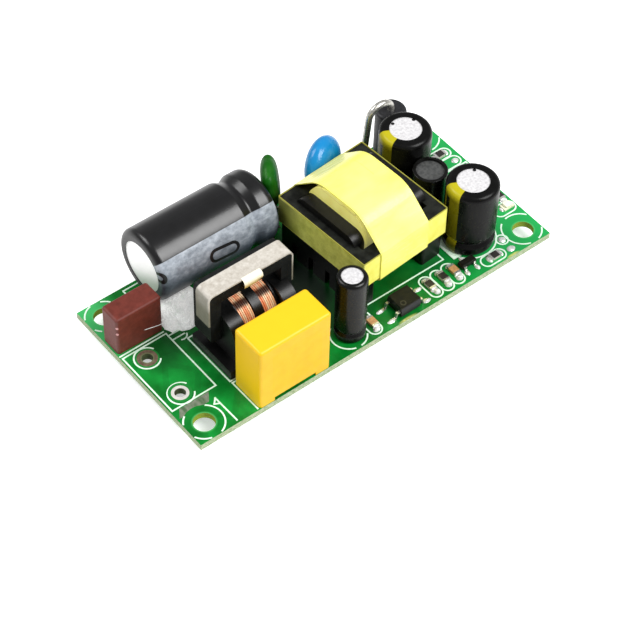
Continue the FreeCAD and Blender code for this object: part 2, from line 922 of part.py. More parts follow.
def trafo_wrap_corners(grow):
    """Tape drawn tight over the coil and round the sides of the core."""
    side = trafo_half_y + fit_gap + trafo_band + fit_gap + grow
    round_over = trafo_coil_round + trafo_coil_tape + 2 * fit_gap + grow
    top = trafo_middle + trafo_coil_half_height + trafo_coil_tape + 2 * fit_gap + grow
    bottom = 2 * trafo_middle - top
    centre_y = trafo_coil_half_width - trafo_coil_round
    upper = trafo_core_top
    lower = trafo_core_base - trafo_wrap_under
    rise = top - round_over
    corners = []
    angle = math.atan2(rise - upper, side - centre_y)
    reach = math.hypot(side - centre_y, rise - upper)
    slope = math.asin(round_over / reach) - angle
    apex = side - (top - upper) / math.tan(slope)
    fall = bottom + round_over
    angle_low = math.atan2(lower - fall, side - centre_y)
    reach_low = math.hypot(side - centre_y, lower - fall)
    slope_low = math.asin(round_over / reach_low) - angle_low
    apex_low = side - (lower - bottom) / math.tan(slope_low)
    soft = 0.3 + grow
    corners = [
        (-apex_low, bottom, round_over),
        (apex_low, bottom, round_over),
        (side, lower, soft),
        (side, upper, soft),
        (apex, top, round_over),
        (-apex, top, round_over),
        (-side, upper, soft),
        (-side, lower, soft),
    ]
    return corners


def trafo_wrapping():
    low = trafo_coil_low + trafo_wrap_inset
    high = trafo_coil_high - trafo_wrap_inset
    outer = bar_x(trafo_wrap_corners(trafo_wrap), low, high)
    return outer.cut(bar_x(trafo_wrap_corners(0), 2 * low, 2 * high))


def on_trafo(shape):
    return seated(shape, trafo_x, trafo_y, trafo_turn)


keep("transformer_core_left", on_trafo(trafo_e(-1)))
keep("transformer_core_right", on_trafo(trafo_e(1)))
keep("transformer_bobbin", on_trafo(trafo_former()))
keep("transformer_winding", on_trafo(trafo_roll()))
keep("transformer_winding_tape", on_trafo(trafo_roll_tape()))
keep("transformer_core_band", on_trafo(trafo_ring()))
keep("transformer_wrap_tape", on_trafo(trafo_wrapping()))
trafo_spots = spots(
    trafo_x, trafo_y, [(u, v) for u in row(2, trafo_pin_row) for v in row(trafo_pins, trafo_pin_pitch)], trafo_turn)
keep("transformer_pins", straight_leads(trafo_spots, trafo_pin_dia, 0))


# Drum inductor

def drum_bobbin():
    half = drum_height - drum_recess
    return turned([
        (0, 0, 0),
        (drum_radius, 0, 0),
        (drum_radius, drum_flange, 0),
        (drum_neck, drum_flange, 0),
        (drum_neck, half - drum_flange, 0),
        (drum_radius, half - drum_flange, 0),
        (drum_radius, half, 0.15),
        (0, half, 0),
    ])


def drum_wire():
    low = drum_flange + fit_gap
    high = drum_height - drum_recess - drum_flange - fit_gap
    return turned([
        (drum_neck + fit_gap, low, 0),
        (drum_coil_radius, low, 0),
        (drum_coil_radius, high, 0),
        (drum_neck + fit_gap, high, 0),
    ])


def drum_jacket():
    inner = drum_radius + fit_gap
    outer = inner + drum_sleeve_wall
    ledge = drum_height - drum_recess + fit_gap
    return turned([
        (inner, 0, 0),
        (outer, 0, 0),
        (outer, drum_height, 0.12),
        (inner - drum_lip, drum_height, 0),
        (inner - drum_lip, ledge, 0),
        (inner, ledge, 0),
    ])


keep("drum_core", seated(drum_bobbin(), drum_x, drum_y))
keep("drum_winding", seated(drum_wire(), drum_x, drum_y))
keep("drum_sleeve", seated(drum_jacket(), drum_x, drum_y))
drum_spots = spots(drum_x, drum_y, [(u, 0) for u in row(2, drum_pitch)])
keep("drum_leads", straight_leads(drum_spots, drum_lead_dia, 0))


# Output diode with its upper lead looped over

diode_top = diode_base + diode_length
diode_barrel = turned([
    (0, diode_base, 0),
    (diode_radius, diode_base, diode_round),
    (diode_radius, diode_top, diode_round),
    (0, diode_top, 0),
])
keep("diode_body", seated(diode_barrel, diode_x, diode_y))
diode_return = diode_x - 2 * diode_loop
diode_foot = diode_return - diode_spread
diode_crown = board_thickness + diode_top + diode_rise + diode_loop
diode_wire = bent_lead(
    [
        vec(diode_x, diode_y, board_thickness + diode_top),
        vec(diode_x, diode_y, diode_crown),
        vec(diode_return, diode_y, diode_crown),
        vec(diode_foot, diode_y, board_thickness + diode_knee),
        vec(diode_foot, diode_y, -tail_length),
    ],
    [diode_loop * 0.999, diode_loop * 0.999, diode_knee_bend],
    diode_lead_dia,
)
drill([(diode_foot, diode_y)], diode_lead_dia)
keep("diode_leads", straight_leads([(diode_x, diode_y)], diode_lead_dia, diode_base) + [diode_wire])


# Disc capacitor

def disc_capacitor():
    half = y_cap_thickness / 2
    edge = y_cap_edge / 2
    lens = turned([
        (0, -half, 0),
        (y_cap_radius * 0.5, -half, y_cap_radius * 0.4),
        (y_cap_radius, -edge, edge * 0.8),
        (y_cap_radius, edge, edge * 0.8),
        (y_cap_radius * 0.5, half, y_cap_radius * 0.4),
        (0, half, 0),
    ])
    lens.rotate(origin, axis_x, 90 - y_cap_lean)
    lens.translate(vec(0, 0, y_cap_centre))
    for u in row(2, y_cap_pitch):
        rise = y_cap_centre - y_cap_skirt_base - y_cap_skirt_dia
        skirt = Part.makeCone(y_cap_skirt_dia * 0.3, y_cap_skirt_dia / 2, rise, vec(u, 0, y_cap_skirt_base))
        lens = lens.fuse(skirt)
    return lens


keep("y_cap_body", seated(disc_capacitor(), y_cap_x, y_cap_y, y_cap_turn))
y_cap_spots = spots(y_cap_x, y_cap_y, [(u, 0) for u in row(2, y_cap_pitch)], y_cap_turn)
keep("y_cap_leads", straight_leads(y_cap_spots, y_cap_lead_dia, y_cap_skirt_base))


# Dipped film capacitor

def film_capacitor():
    half_x = film_width / 2
    half_z = film_height / 2
    edge = film_edge
    corners = [
        (-half_x, -half_z, half_x * 0.8),
        (half_x, -half_z, half_x * 0.8),
        (half_x, half_z, half_x * 0.95),
        (-half_x, half_z, half_x * 0.95),
    ]
    body = bar_y(corners, -film_thickness / 2, film_thickness / 2)
    rims = [e for e in body.Edges if len(set(round(v.Y, 4) for v in e.Vertexes)) == 1]
    body = body.makeFillet(edge, rims)
    body.rotate(origin, axis_x, -film_lean)
    body.translate(vec(0, 0, film_centre))
    for u in row(2, film_pitch):
        skirt = Part.makeCone(
            film_skirt_dia * 0.3, film_skirt_dia / 2, film_centre - film_height / 4 - film_skirt_base,
            vec(u, -film_lead_shift, film_skirt_base))
        body = body.fuse(skirt)
    return body


keep("film_cap_body", seated(film_capacitor(), film_x, film_y, film_turn))
film_spots = spots(film_x, film_y, [(u, -film_lead_shift) for u in row(2, film_pitch)], film_turn)
keep("film_cap_leads", straight_leads(film_spots, film_lead_dia, film_skirt_base))


# Gull wing packages, drawn with their leads along X

def package(length, width, height, lift):
    """Moulded body with drafted sides, widest at the parting line."""
    middle = lift + height / 2
    upper = [(-length / 2, -width / 2), (length / 2, width / 2)]
    solid = None
    for top in (lift, lift + height):
        wires = []
        for z, inset in ((middle, 0), (top, package_draft)):
            low = (upper[0][0] + inset, upper[0][1] + inset)
            high = (upper[1][0] - inset, upper[1][1] - inset)
            wires.append(outline(rectangle(low, high), lambda p, z=z: vec(p.x, p.y, z)))
        half = Part.makeLoft(wires, True, True)
        solid = half if solid is None else solid.fuse(half)
    return solid.removeSplitter()


def gull_lead(length, height, lift, span, foot, width, thickness, side, y):
    """Flat lead from the parting line down to a foot on the board."""
    root = length / 2
    knee = span / 2 - foot
    middle = lift + height / 2
    corners = [
        (root, middle - thickness / 2, 0),
        (knee - thickness, middle - thickness / 2, thickness * 0.4),
        (knee, 0, thickness * 0.4),
        (span / 2, 0, 0),
        (span / 2, thickness, 0),
        (knee + thickness * 0.7, thickness, thickness * 0.4),
        (knee - thickness * 0.3, middle + thickness / 2, thickness * 0.4),
        (root, middle + thickness / 2, 0),
    ]
    if side < 0:
        corners = [(-u, v, r) for u, v, r in corners]
    return bar_y(corners, y - width / 2, y + width / 2)


opto_frame = (opto_length, opto_height, opto_lift, opto_span, opto_foot, opto_lead_width, opto_lead_thickness)
keep("optocoupler_body", seated(package(opto_length, opto_width, opto_height, opto_lift), opto_x, opto_y))
opto_set = [gull_lead(*opto_frame, side, y) for side in (-1, 1) for y in row(2, opto_pitch)]
keep("optocoupler_leads", [seated(shape, opto_x, opto_y) for shape in opto_set])

regulator_frame = (
    regulator_length,
    regulator_height,
    regulator_lift,
    regulator_span,
    regulator_foot,
    regulator_lead_width,
    regulator_lead_thickness,
)
regulator_block = package(regulator_length, regulator_width, regulator_height, regulator_lift)
keep("regulator_body", seated(regulator_block, regulator_x, regulator_y, 90))
regulator_set = [gull_lead(*regulator_frame, -1, y) for y in row(2, regulator_pitch)]
regulator_set.append(gull_lead(*regulator_frame, 1, 0))
keep("regulator_leads", [seated(shape, regulator_x, regulator_y, 90) for shape in regulator_set])

controller_frame = (
    controller_length,
    controller_height,
    controller_lift,
    controller_span,
    controller_foot,
    controller_lead_width,
    controller_lead_thickness,
)
controller_block = package(controller_length, controller_width, controller_height, controller_lift)
keep("controller_body", hung(controller_block, controller_x, controller_y))
controller_set = [gull_lead(*controller_frame, side, y) for side in (-1, 1) for y in row(4, controller_pitch)]
keep("controller_leads", [hung(shape, controller_x, controller_y) for shape in controller_set])

bridge_frame = (
    bridge_length,
    bridge_height,
    bridge_lift,
    bridge_span,
    bridge_foot,
    bridge_lead_width,
    bridge_lead_thickness,
)
bridge_block = package(bridge_length, bridge_width, bridge_height, bridge_lift)
keep("bridge_body", hung(bridge_block, bridge_x, bridge_y))
bridge_set = [gull_lead(*bridge_frame, side, y) for side in (-1, 1) for y in row(2, bridge_pitch)]
keep("bridge_leads", [hung(shape, bridge_x, bridge_y) for shape in bridge_set])


# Chip parts with their metal ends and solder

def chip_body(size):
    length, width, height, metal, run = size
    return box((-length / 2 + metal, -width / 2, 0), (length / 2 - metal, width / 2, height))


def chip_ends(size):
    length, width, height, metal, run = size
    ends = []
    for side in (-1, 1):
        near = side * (length / 2 - metal)
        far = side * length / 2
        ends.append(box((min(near, far), -width / 2, 0), (max(near, far), width / 2, height)))
    return ends


def chip_fillets(size):
    """Solder run out from each metal end, hollow in its slope."""
    length, width, height, metal, run = size
    shapes = []
    for side in (-1, 1):
        start = side * length / 2
        end = side * (length / 2 + run)
        rise = height * chip_solder_rise
        middle = vec(start + (end - start) * 0.42, 0, rise * 0.42)
        edges = [
            Part.LineSegment(vec(start, 0, 0), vec(end, 0, 0)).toShape(),
            Part.Arc(vec(end, 0, 0), middle, vec(start, 0, rise)).toShape(),
            Part.LineSegment(vec(start, 0, rise), vec(start, 0, 0)).toShape(),
        ]
        wedge = Part.Face(Part.Wire(edges)).extrude(vec(0, width, 0))
        wedge.translate(vec(0, -width / 2, 0))
        shapes.append(wedge)
    return shapes


resistor_bodies = [seated(chip_body(small_chip), x, y, turn) for x, y, turn in top_resistors]
resistor_bodies += [hung(chip_body(large_chip), x, y, turn) for x, y, turn in under_resistors]
capacitor_bodies = [seated(chip_body(small_chip), x, y, turn) for x, y, turn in top_capacitors]
capacitor_bodies += [hung(chip_body(small_chip), x, y, turn) for x, y, turn in under_capacitors]
end_caps = []
fillets = []
for x, y, turn in top_resistors + top_capacitors:
    end_caps += [seated(shape, x, y, turn) for shape in chip_ends(small_chip)]
    fillets += [seated(shape, x, y, turn) for shape in chip_fillets(small_chip)]
for x, y, turn in under_resistors:
    end_caps += [hung(shape, x, y, turn) for shape in chip_ends(large_chip)]
    fillets += [hung(shape, x, y, turn) for shape in chip_fillets(large_chip)]
for x, y, turn in under_capacitors:
    end_caps += [hung(shape, x, y, turn) for shape in chip_ends(small_chip)]
    fillets += [hung(shape, x, y, turn) for shape in chip_fillets(small_chip)]
keep("chip_resistors", resistor_bodies)
keep("chip_capacitors", capacitor_bodies)
keep("chip_terminations", end_caps)
keep("chip_solder", fillets)

led_lens = soft_box(led_lens_length, led_width * 0.9, led_lens_height, 0.15, led_base)
led_plate = box((-led_length / 2, -led_width / 2, 0), (led_length / 2, led_width / 2, led_base))
keep("status_led", seated(led_plate.fuse(led_lens), led_x, led_y, 0))


# Silicone under the flank of the lying capacitor

def silicone():
    plan = [
        (silicone_left, silicone_notch_y, silicone_round),
        (silicone_notch_x, silicone_notch_y, silicone_round * 0.5),
        (silicone_notch_x, silicone_front, silicone_round),
        (silicone_right, silicone_front, silicone_round),
        (silicone_right, bulk_y, 0),
        (silicone_left, bulk_y, 0),
    ]
    bead = slab(plan, 0, silicone_height)
    profile = [
        (silicone_front - 1, 0, 0),
        (bulk_y + 1, 0, 0),
        (bulk_y + 1, silicone_height, 0),
        (silicone_front + silicone_slope, silicone_height, silicone_crown),
        (silicone_front + silicone_slope * 0.3, 0.6, 1.5),
        (silicone_front - 1, 0.25, 0),
    ]
    bead = bead.common(bar_x(profile, silicone_left - 1, silicone_right + 1))
    hollow = Part.makeCylinder(
        bulk_radius + can_lift + fit_gap, bulk_length * 2, vec(bulk_left - bulk_length / 2, bulk_y, bulk_axis_height), axis_x)
    return bead.cut(hollow)


keep("silicone_bead", seated(silicone(), 0, 0))


# Solder cones under the board

def solder_cone(dia):
    inner = dia / 2 + fit_gap
    foot = dia / 2 + solder_foot
    tip = inner + solder_tip
    return turned([
        (inner, 0, 0),
        (foot, 0, 0),
        (foot, -solder_film, 0),
        (tip + (foot - tip) * 0.3, -solder_height * 0.45, 0),
        (tip, -solder_height, 0),
        (inner, -solder_height, 0),
    ])


keep("solder_joints", [placed(solder_cone(dia), x, y) for x, y, dia in drilled])


# Plated wire pads

def wire_pad(hole_dia, pad_dia):
    hole = hole_dia / 2
    wall = hole + pad_plating
    ring = pad_dia / 2
    top = board_thickness
    return turned([
        (hole, -pad_film, 0),
        (ring, -pad_film, 0),
        (ring, 0, 0),
        (wall, 0, 0),
        (wall, top, 0),
        (ring, top, 0),
        (ring, top + pad_film, 0),
        (hole, top + pad_film, 0),
    ])


input_spots = spots(input_pad_x, input_pad_y, [(0, v) for v in row(2, input_pad_pitch)])
output_pad_spots = spots(output_pad_x, output_pad_y, [(0, v) for v in row(2, output_pad_pitch)])
pad_shapes = [placed(wire_pad(input_hole_dia, input_pad_dia), x, y) for x, y in input_spots]
pad_shapes += [placed(wire_pad(output_hole_dia, output_pad_dia), x, y) for x, y in output_pad_spots]
keep("wire_pads", pad_shapes)


# Board with every hole

def circuit_board():
    board = box((-board_length / 2, -board_width / 2, 0), (board_length / 2, board_width / 2, board_thickness))
    cuts = []
    for x in row(2, corner_pitch_x):
        for y in row(2, corner_pitch_y):
            cuts.append(Part.makeCylinder(corner_hole_dia / 2, board_thickness, vec(x, y, 0)))
    for x, y, dia in drilled:
        cuts.append(Part.makeCylinder(dia / 2 + hole_slack, board_thickness, vec(x, y, 0)))
    for x, y in input_spots:
        cuts.append(Part.makeCylinder(input_hole_dia / 2 + pad_plating + fit_gap, board_thickness, vec(x, y, 0)))
    for x, y in output_pad_spots:
        cuts.append(Part.makeCylinder(output_hole_dia / 2 + pad_plating + fit_gap, board_thickness, vec(x, y, 0)))
    return board.cut(cuts)


keep("circuit_board", circuit_board())

for name, shapes in pieces.items():
    solids = []
    for shape in shapes:
        solids += shape.Solids
    whole = solids[0] if len(solids) == 1 else Part.makeCompound(solids)
    whole.exportStep("parts/" + name + ".step")
    print(name, len(solids), "solids, volume", round(whole.Volume, 3), "valid", whole.isValid())
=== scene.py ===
import bpy
import math
from mathutils import Matrix, Vector


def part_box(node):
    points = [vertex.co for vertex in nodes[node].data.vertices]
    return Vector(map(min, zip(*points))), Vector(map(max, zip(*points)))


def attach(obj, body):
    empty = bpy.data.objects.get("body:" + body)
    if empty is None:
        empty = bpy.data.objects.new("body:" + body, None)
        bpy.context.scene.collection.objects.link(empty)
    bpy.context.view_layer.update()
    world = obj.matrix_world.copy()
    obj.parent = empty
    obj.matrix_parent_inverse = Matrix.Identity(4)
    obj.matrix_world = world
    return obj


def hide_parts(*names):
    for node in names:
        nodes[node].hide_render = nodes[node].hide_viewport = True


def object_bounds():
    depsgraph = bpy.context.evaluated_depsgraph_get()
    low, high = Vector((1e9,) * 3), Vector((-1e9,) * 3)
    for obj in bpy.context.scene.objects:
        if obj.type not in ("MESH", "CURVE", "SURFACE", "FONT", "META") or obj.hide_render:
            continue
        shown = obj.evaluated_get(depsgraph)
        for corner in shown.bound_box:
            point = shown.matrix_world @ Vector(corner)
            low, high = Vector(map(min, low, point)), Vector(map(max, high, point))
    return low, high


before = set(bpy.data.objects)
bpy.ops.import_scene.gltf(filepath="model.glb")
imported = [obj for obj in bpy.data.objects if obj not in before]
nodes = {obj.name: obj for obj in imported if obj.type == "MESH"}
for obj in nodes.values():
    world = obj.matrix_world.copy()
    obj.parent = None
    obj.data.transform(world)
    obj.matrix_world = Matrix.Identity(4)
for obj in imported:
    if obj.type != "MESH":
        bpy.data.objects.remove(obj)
cadLow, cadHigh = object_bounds()
mm = 0.001
boardTop = 1.2
print("frame loaded:", len(nodes), "pieces")


# Shader maths: a signal is one output socket, and expressions on it add nodes

class Signal:
    def __init__(self, finish, socket):
        self.finish = finish
        self.socket = socket

    def join(self, operation, first, second=None, third=None):
        values = [v for v in (first, second, third) if v is not None]
        return self.finish.node("ShaderNodeMath", {"operation": operation}, dict(enumerate(values)))

    def __add__(self, other): return self.join("ADD", self, other)
    def __radd__(self, other): return self.join("ADD", other, self)
    def __sub__(self, other): return self.join("SUBTRACT", self, other)
    def __rsub__(self, other): return self.join("SUBTRACT", other, self)
    def __mul__(self, other): return self.join("MULTIPLY", self, other)
    def __rmul__(self, other): return self.join("MULTIPLY", other, self)
    def __truediv__(self, other): return self.join("DIVIDE", self, other)
    def __rtruediv__(self, other): return self.join("DIVIDE", other, self)
    def __gt__(self, other): return self.join("GREATER_THAN", self, other)
    def __lt__(self, other): return self.join("LESS_THAN", self, other)
    def __pow__(self, other): return self.join("POWER", self, other)
    def __abs__(self): return self.join("ABSOLUTE", self)


class Finish:
    labels = {"colour": "Base Color", "rough": "Roughness", "metal": "Metallic", "coat": "Coat Weight",
              "coatRough": "Coat Roughness", "bump": "Normal", "specular": "Specular IOR Level",
              "glow": "Emission Color", "glowStrength": "Emission Strength"}

    def __init__(self, name, **fixed):
        self.material = bpy.data.materials.new(name)
        self.material.use_nodes = True
        self.tree = self.material.node_tree
        self.shader = self.tree.nodes["Principled BSDF"]
        self.set(**fixed)
        place = self.node("ShaderNodeTexCoord", {}, {}, "Object")
        self.place = self.node("ShaderNodeVectorMath", {"operation": "SCALE"}, {0: place, "Scale": 1000.0})
        self.axes = {}
        finishes[name] = self

    def set(self, **sockets):
        for key, value in sockets.items():
            self.feed(self.shader.inputs[self.labels[key]], value)

    def feed(self, socket, value):
        if isinstance(value, Signal):
            self.tree.links.new(value.socket, socket)
        elif isinstance(value, (tuple, list)) and len(value) == 3 and socket.type == "RGBA":
            socket.default_value = (*value, 1.0)
        else:
            socket.default_value = value

    def node(self, kind, settings, inputs, output=0):
        made = self.tree.nodes.new(kind)
        for key, value in settings.items():
            if key == "stops":
                while len(made.color_ramp.elements) < len(value):
                    made.color_ramp.elements.new(0.5)
                for element, (at, colour) in zip(made.color_ramp.elements, value):
                    element.position = at
                    element.color = (*colour, 1.0)
            else:
                setattr(made, key, value)
        for key, value in inputs.items():
            self.feed(made.inputs[key], value)
        return Signal(self, made.outputs[output])

    def grain(self, scale, detail=2.0, rough=0.5, stretch=(1, 1, 1)):
        place = self.node("ShaderNodeMapping", {}, {"Vector": self.place, "Scale": stretch})
        return self.node("ShaderNodeTexNoise", {}, {
            "Vector": place, "Scale": scale, "Detail": detail, "Roughness": rough}, "Fac")

    def cells(self, scale, feature="F1", stretch=(1, 1, 1)):
        place = self.node("ShaderNodeMapping", {}, {"Vector": self.place, "Scale": stretch})
        return self.node("ShaderNodeTexVoronoi", {"feature": feature}, {
            "Vector": place, "Scale": scale}, "Distance")

    def axis(self, name):
        if name not in self.axes:
            self.axes[name] = self.node("ShaderNodeSeparateXYZ", {}, {0: self.place}, name)
        return self.axes[name]

    def ramp(self, signal, *stops):
        return self.node("ShaderNodeValToRGB", {"stops": stops}, {"Fac": signal}, "Color")

    def span(self, signal, low, high, start=0.0, end=1.0):
        return self.node("ShaderNodeMapRange", {"interpolation_type": "SMOOTHSTEP"}, {
            "Value": signal, "From Min": low, "From Max": high, "To Min": start, "To Max": end}, "Result")

    def mix(self, factor, first, second):
        return self.node("ShaderNodeMix", {"data_type": "RGBA"}, {0: factor, 6: first, 7: second}, 2)

    def relief(self, height, depth, strength):
        return self.node("ShaderNodeBump", {}, {
            "Height": height, "Distance": depth * mm, "Strength": strength}, "Normal")

    def length(self, u, v):
        return (u * u + v * v) ** 0.5

    def clip(self, signal):
        return self.node("ShaderNodeMath", {"operation": "MAXIMUM"}, {0: signal, 1: 0.0})

    def turned(self, u, v):
        return self.node("ShaderNodeMath", {"operation": "ARCTAN2"}, {0: u, 1: v}) * math.degrees(1.0)

    def spot(self, x, y, radius):
        return self.length(self.axis("X") - x, self.axis("Y") - y) < radius

    def blob(self, x, y, reachX, reachY):
        far = self.length((self.axis("X") - x) / reachX, (self.axis("Y") - y) / reachY)
        return self.span(far, 0.35, 1.0, 1.0, 0.0)

    def facing(self, name):
        normal = self.node("ShaderNodeTexCoord", {}, {}, "Normal")
        return self.node("ShaderNodeSeparateXYZ", {}, {0: normal}, name)


finishes = {}


def paint(name, *pieces):
    for piece in pieces:
        thing = nodes[piece] if isinstance(piece, str) else piece
        thing.data.materials.clear()
        thing.data.materials.append(finishes[name].material)


def linear(red, green, blue):
    def one(value):
        value = value / 255
        return value / 12.92 if value <= 0.04045 else ((value + 0.055) / 1.055) ** 2.4
    return (one(red), one(green), one(blue))


# Camera at the photograph's place

photoView = {"azimuth": -39.9, "elevation": 49.9, "roll": 1.8, "distance": 347.0, "right": -0.35, "up": 7.56,
             "lens": 123.24}


def placeCamera(view):
    around = math.radians(view["azimuth"])
    above = math.radians(view["elevation"])
    lean = math.radians(view["roll"])
    back = Vector((math.sin(around) * math.cos(above), -math.cos(around) * math.cos(above), math.sin(above)))
    right = (-back).cross(Vector((0, 0, 1))).normalized()
    up = right.cross(-back)
    leanRight = right * math.cos(lean) + up * math.sin(lean)
    leanUp = up * math.cos(lean) - right * math.sin(lean)
    spot = back * view["distance"] - leanRight * view["right"] - leanUp * view["up"]
    spot += Vector((0, 0, boardTop))
    data = bpy.data.cameras.new("camera")
    camera = bpy.data.objects.new("camera", data)
    bpy.context.scene.collection.objects.link(camera)
    turn = Matrix((leanRight, leanUp, back)).transposed().to_4x4()
    camera.matrix_world = Matrix.Translation(spot * mm) @ turn
    data.sensor_width = 36.0
    data.lens = view["lens"]
    data.clip_start = 0.01
    data.clip_end = 10.0
    bpy.context.scene.camera = camera


placeCamera(photoView)

# Plain studio: pale floor, soft lamps, even sky

studio = {"floorSize": 3.0, "floorGlow": 0.5, "sky": 0.42, "keyPlace": (0.3, -0.5, 0.7), "keySize": 0.5,
          "keyPower": 9.0, "fillPlace": (-0.35, 0.45, 0.7), "fillSize": 0.45, "fillPower": 4.5}


def lamp(name, place, size, power):
    data = bpy.data.lights.new(name, "AREA")
    data.size = size
    data.energy = power
    made = bpy.data.objects.new(name, data)
    bpy.context.scene.collection.objects.link(made)
    made.location = place
    made.rotation_euler = (-Vector(place)).to_track_quat("-Z", "Y").to_euler()


def makeStudio(settings):
    bpy.ops.object.select_all(action="DESELECT")
    bpy.ops.mesh.primitive_plane_add(size=settings["floorSize"], location=(0, 0, cadLow.z))
    floor = bpy.context.object
    floor.name = "floor"
    bpy.ops.object.transform_apply(location=True, rotation=True, scale=True)
    white = Finish("floorWhite", colour=(0.9, 0.9, 0.9), rough=0.9)
    matt = Signal(white, white.shader.outputs[0])
    glow = white.node("ShaderNodeEmission", {}, {"Strength": settings["floorGlow"]})
    both = white.node("ShaderNodeAddShader", {}, {0: matt, 1: glow})
    seen = white.node("ShaderNodeLightPath", {}, {}, "Is Camera Ray")
    share = white.node("ShaderNodeMixShader", {}, {0: seen, 1: matt, 2: both})
    white.feed(white.tree.nodes["Material Output"].inputs["Surface"], share)
    paint("floorWhite", floor)
    world = bpy.data.worlds.new("sky")
    bpy.context.scene.world = world
    world.use_nodes = True
    ground = world.node_tree.nodes["Background"]
    ground.inputs["Color"].default_value = (1.0, 1.0, 1.0, 1.0)
    ground.inputs["Strength"].default_value = settings["sky"]
    lamp("key", settings["keyPlace"], settings["keySize"], settings["keyPower"])
    lamp("fill", settings["fillPlace"], settings["fillSize"], settings["fillPower"])
    bpy.context.scene.view_settings.view_transform = "Standard"


makeStudio(studio)
print("camera and studio ready")


# Hand tools for the modelled pieces; places and the tests of pick are in millimetres

def clear():
    bpy.ops.object.select_all(action="DESELECT")


def start(kind, **place):
    clear()
    place = {key: [v * mm for v in value] if key == "location" else value for key, value in place.items()}
    getattr(bpy.ops.mesh, "primitive_" + kind + "_add")(**place)
    return bpy.context.object


def pick(thing, kind, test):
    bpy.ops.object.mode_set(mode="EDIT")
    bpy.ops.mesh.select_mode(type=kind)
    bpy.ops.mesh.select_all(action="DESELECT")
    bpy.ops.object.mode_set(mode="OBJECT")
    items = thing.data.vertices if kind == "VERT" else thing.data.polygons
    for item in items:
        item.select = test((item.co if kind == "VERT" else item.center) / mm)
    bpy.ops.object.mode_set(mode="EDIT")


def pickAll():
    bpy.ops.object.mode_set(mode="EDIT")
    bpy.ops.mesh.select_all(action="SELECT")


def out():
    bpy.ops.object.mode_set(mode="OBJECT")


def move(x, y, z):
    bpy.ops.transform.translate(value=(x * mm, y * mm, z * mm))


def stretch(x, y, z):
    bpy.ops.transform.resize(value=(x, y, z), center_override=(0, 0, 0))


def faceOut():
    pickAll()
    bpy.ops.mesh.normals_make_consistent(inside=False)
    out()


def bake(thing):
    clear()
    thing.select_set(True)
    bpy.context.view_layer.objects.active = thing
    bpy.ops.object.transform_apply(location=True, rotation=True, scale=True)


def modify(thing, kind, **settings):
    bpy.context.view_layer.objects.active = thing
    made = thing.modifiers.new(kind.lower(), kind)
    for key, value in settings.items():
        setattr(made, key, value)
    bpy.ops.object.modifier_apply(modifier=made.name)


def another(thing, place, turn, scale):
    made = thing.copy()
    made.data = thing.data.copy()
    bpy.context.scene.collection.objects.link(made)
    made.location = [v * mm for v in place]
    made.rotation_euler = [math.radians(v) for v in turn]
    made.scale = scale
    bake(made)
    return made


def gather(things):
    clear()
    for thing in things:
        thing.select_set(True)
    bpy.context.view_layer.objects.active = things[0]
    if len(things) > 1:
        bpy.ops.object.join()
    return bpy.context.object


def thread(points, radius):
    data = bpy.data.curves.new("thread", "CURVE")
    data.dimensions = "3D"
    data.bevel_depth = radius * mm
    data.bevel_resolution = 3
    data.resolution_u = 8
    data.use_fill_caps = True
    line = data.splines.new("NURBS")
    line.points.add(len(points) - 1)
    for spot, point in zip(line.points, points):
        spot.co = (*[v * mm for v in point], 1.0)
    line.use_endpoint_u = True
    line.order_u = 4
    made = bpy.data.objects.new("thread", data)
    bpy.context.scene.collection.objects.link(made)
    clear()
    made.select_set(True)
    bpy.context.view_layer.objects.active = made
    bpy.ops.object.convert(target="MESH")
    return bpy.context.object


def settle(thing, name, finish, slot, *replaced, angle=40):
    thing.name = name
    bake(thing)
    if angle:
        bpy.ops.object.shade_smooth_by_angle(angle=math.radians(angle))
    paint(finish, thing)
    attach(thing, "root")
    if replaced:
        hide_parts(*replaced)


# Board: green solder mask with copper areas below, bare laminate edges, tinned patch by the front wire pad;
# painted light lightens the open board, painted shade darkens it by the tall parts

boardLook = {"holeX": 32.0, "holeY": 13.0, "holeRadius": 1.75, "rimWidth": 0.34, "wallReach": 2.1,
             "patch": (-31.3, -9.5, 2.75, 0.8), "patchSlant": 0.7, "patchKeep": 3.25, "pale": (10.0, 31.0),
             "corner": (-35.0, 14.0, 7.0, 12.0), "stains": ((5.2, -16.1, 2.2, 0.45), (27.2, -16.1, 1.6, 0.4)),
             "shades": (
                 (-4.4, -0.5, 8.5, 13.0, 0.98), (-2.5, 4.5, 6.0, 6.0, 0.6), (8.0, -9.2, 15.0, 4.0, 0.5),
                 (-29.5, 2.5, 5.5, 6.0, 0.5), (-1.0, -12.0, 5.5, 5.5, 0.5), (-23.0, 0.0, 3.0, 5.0, 0.5))}


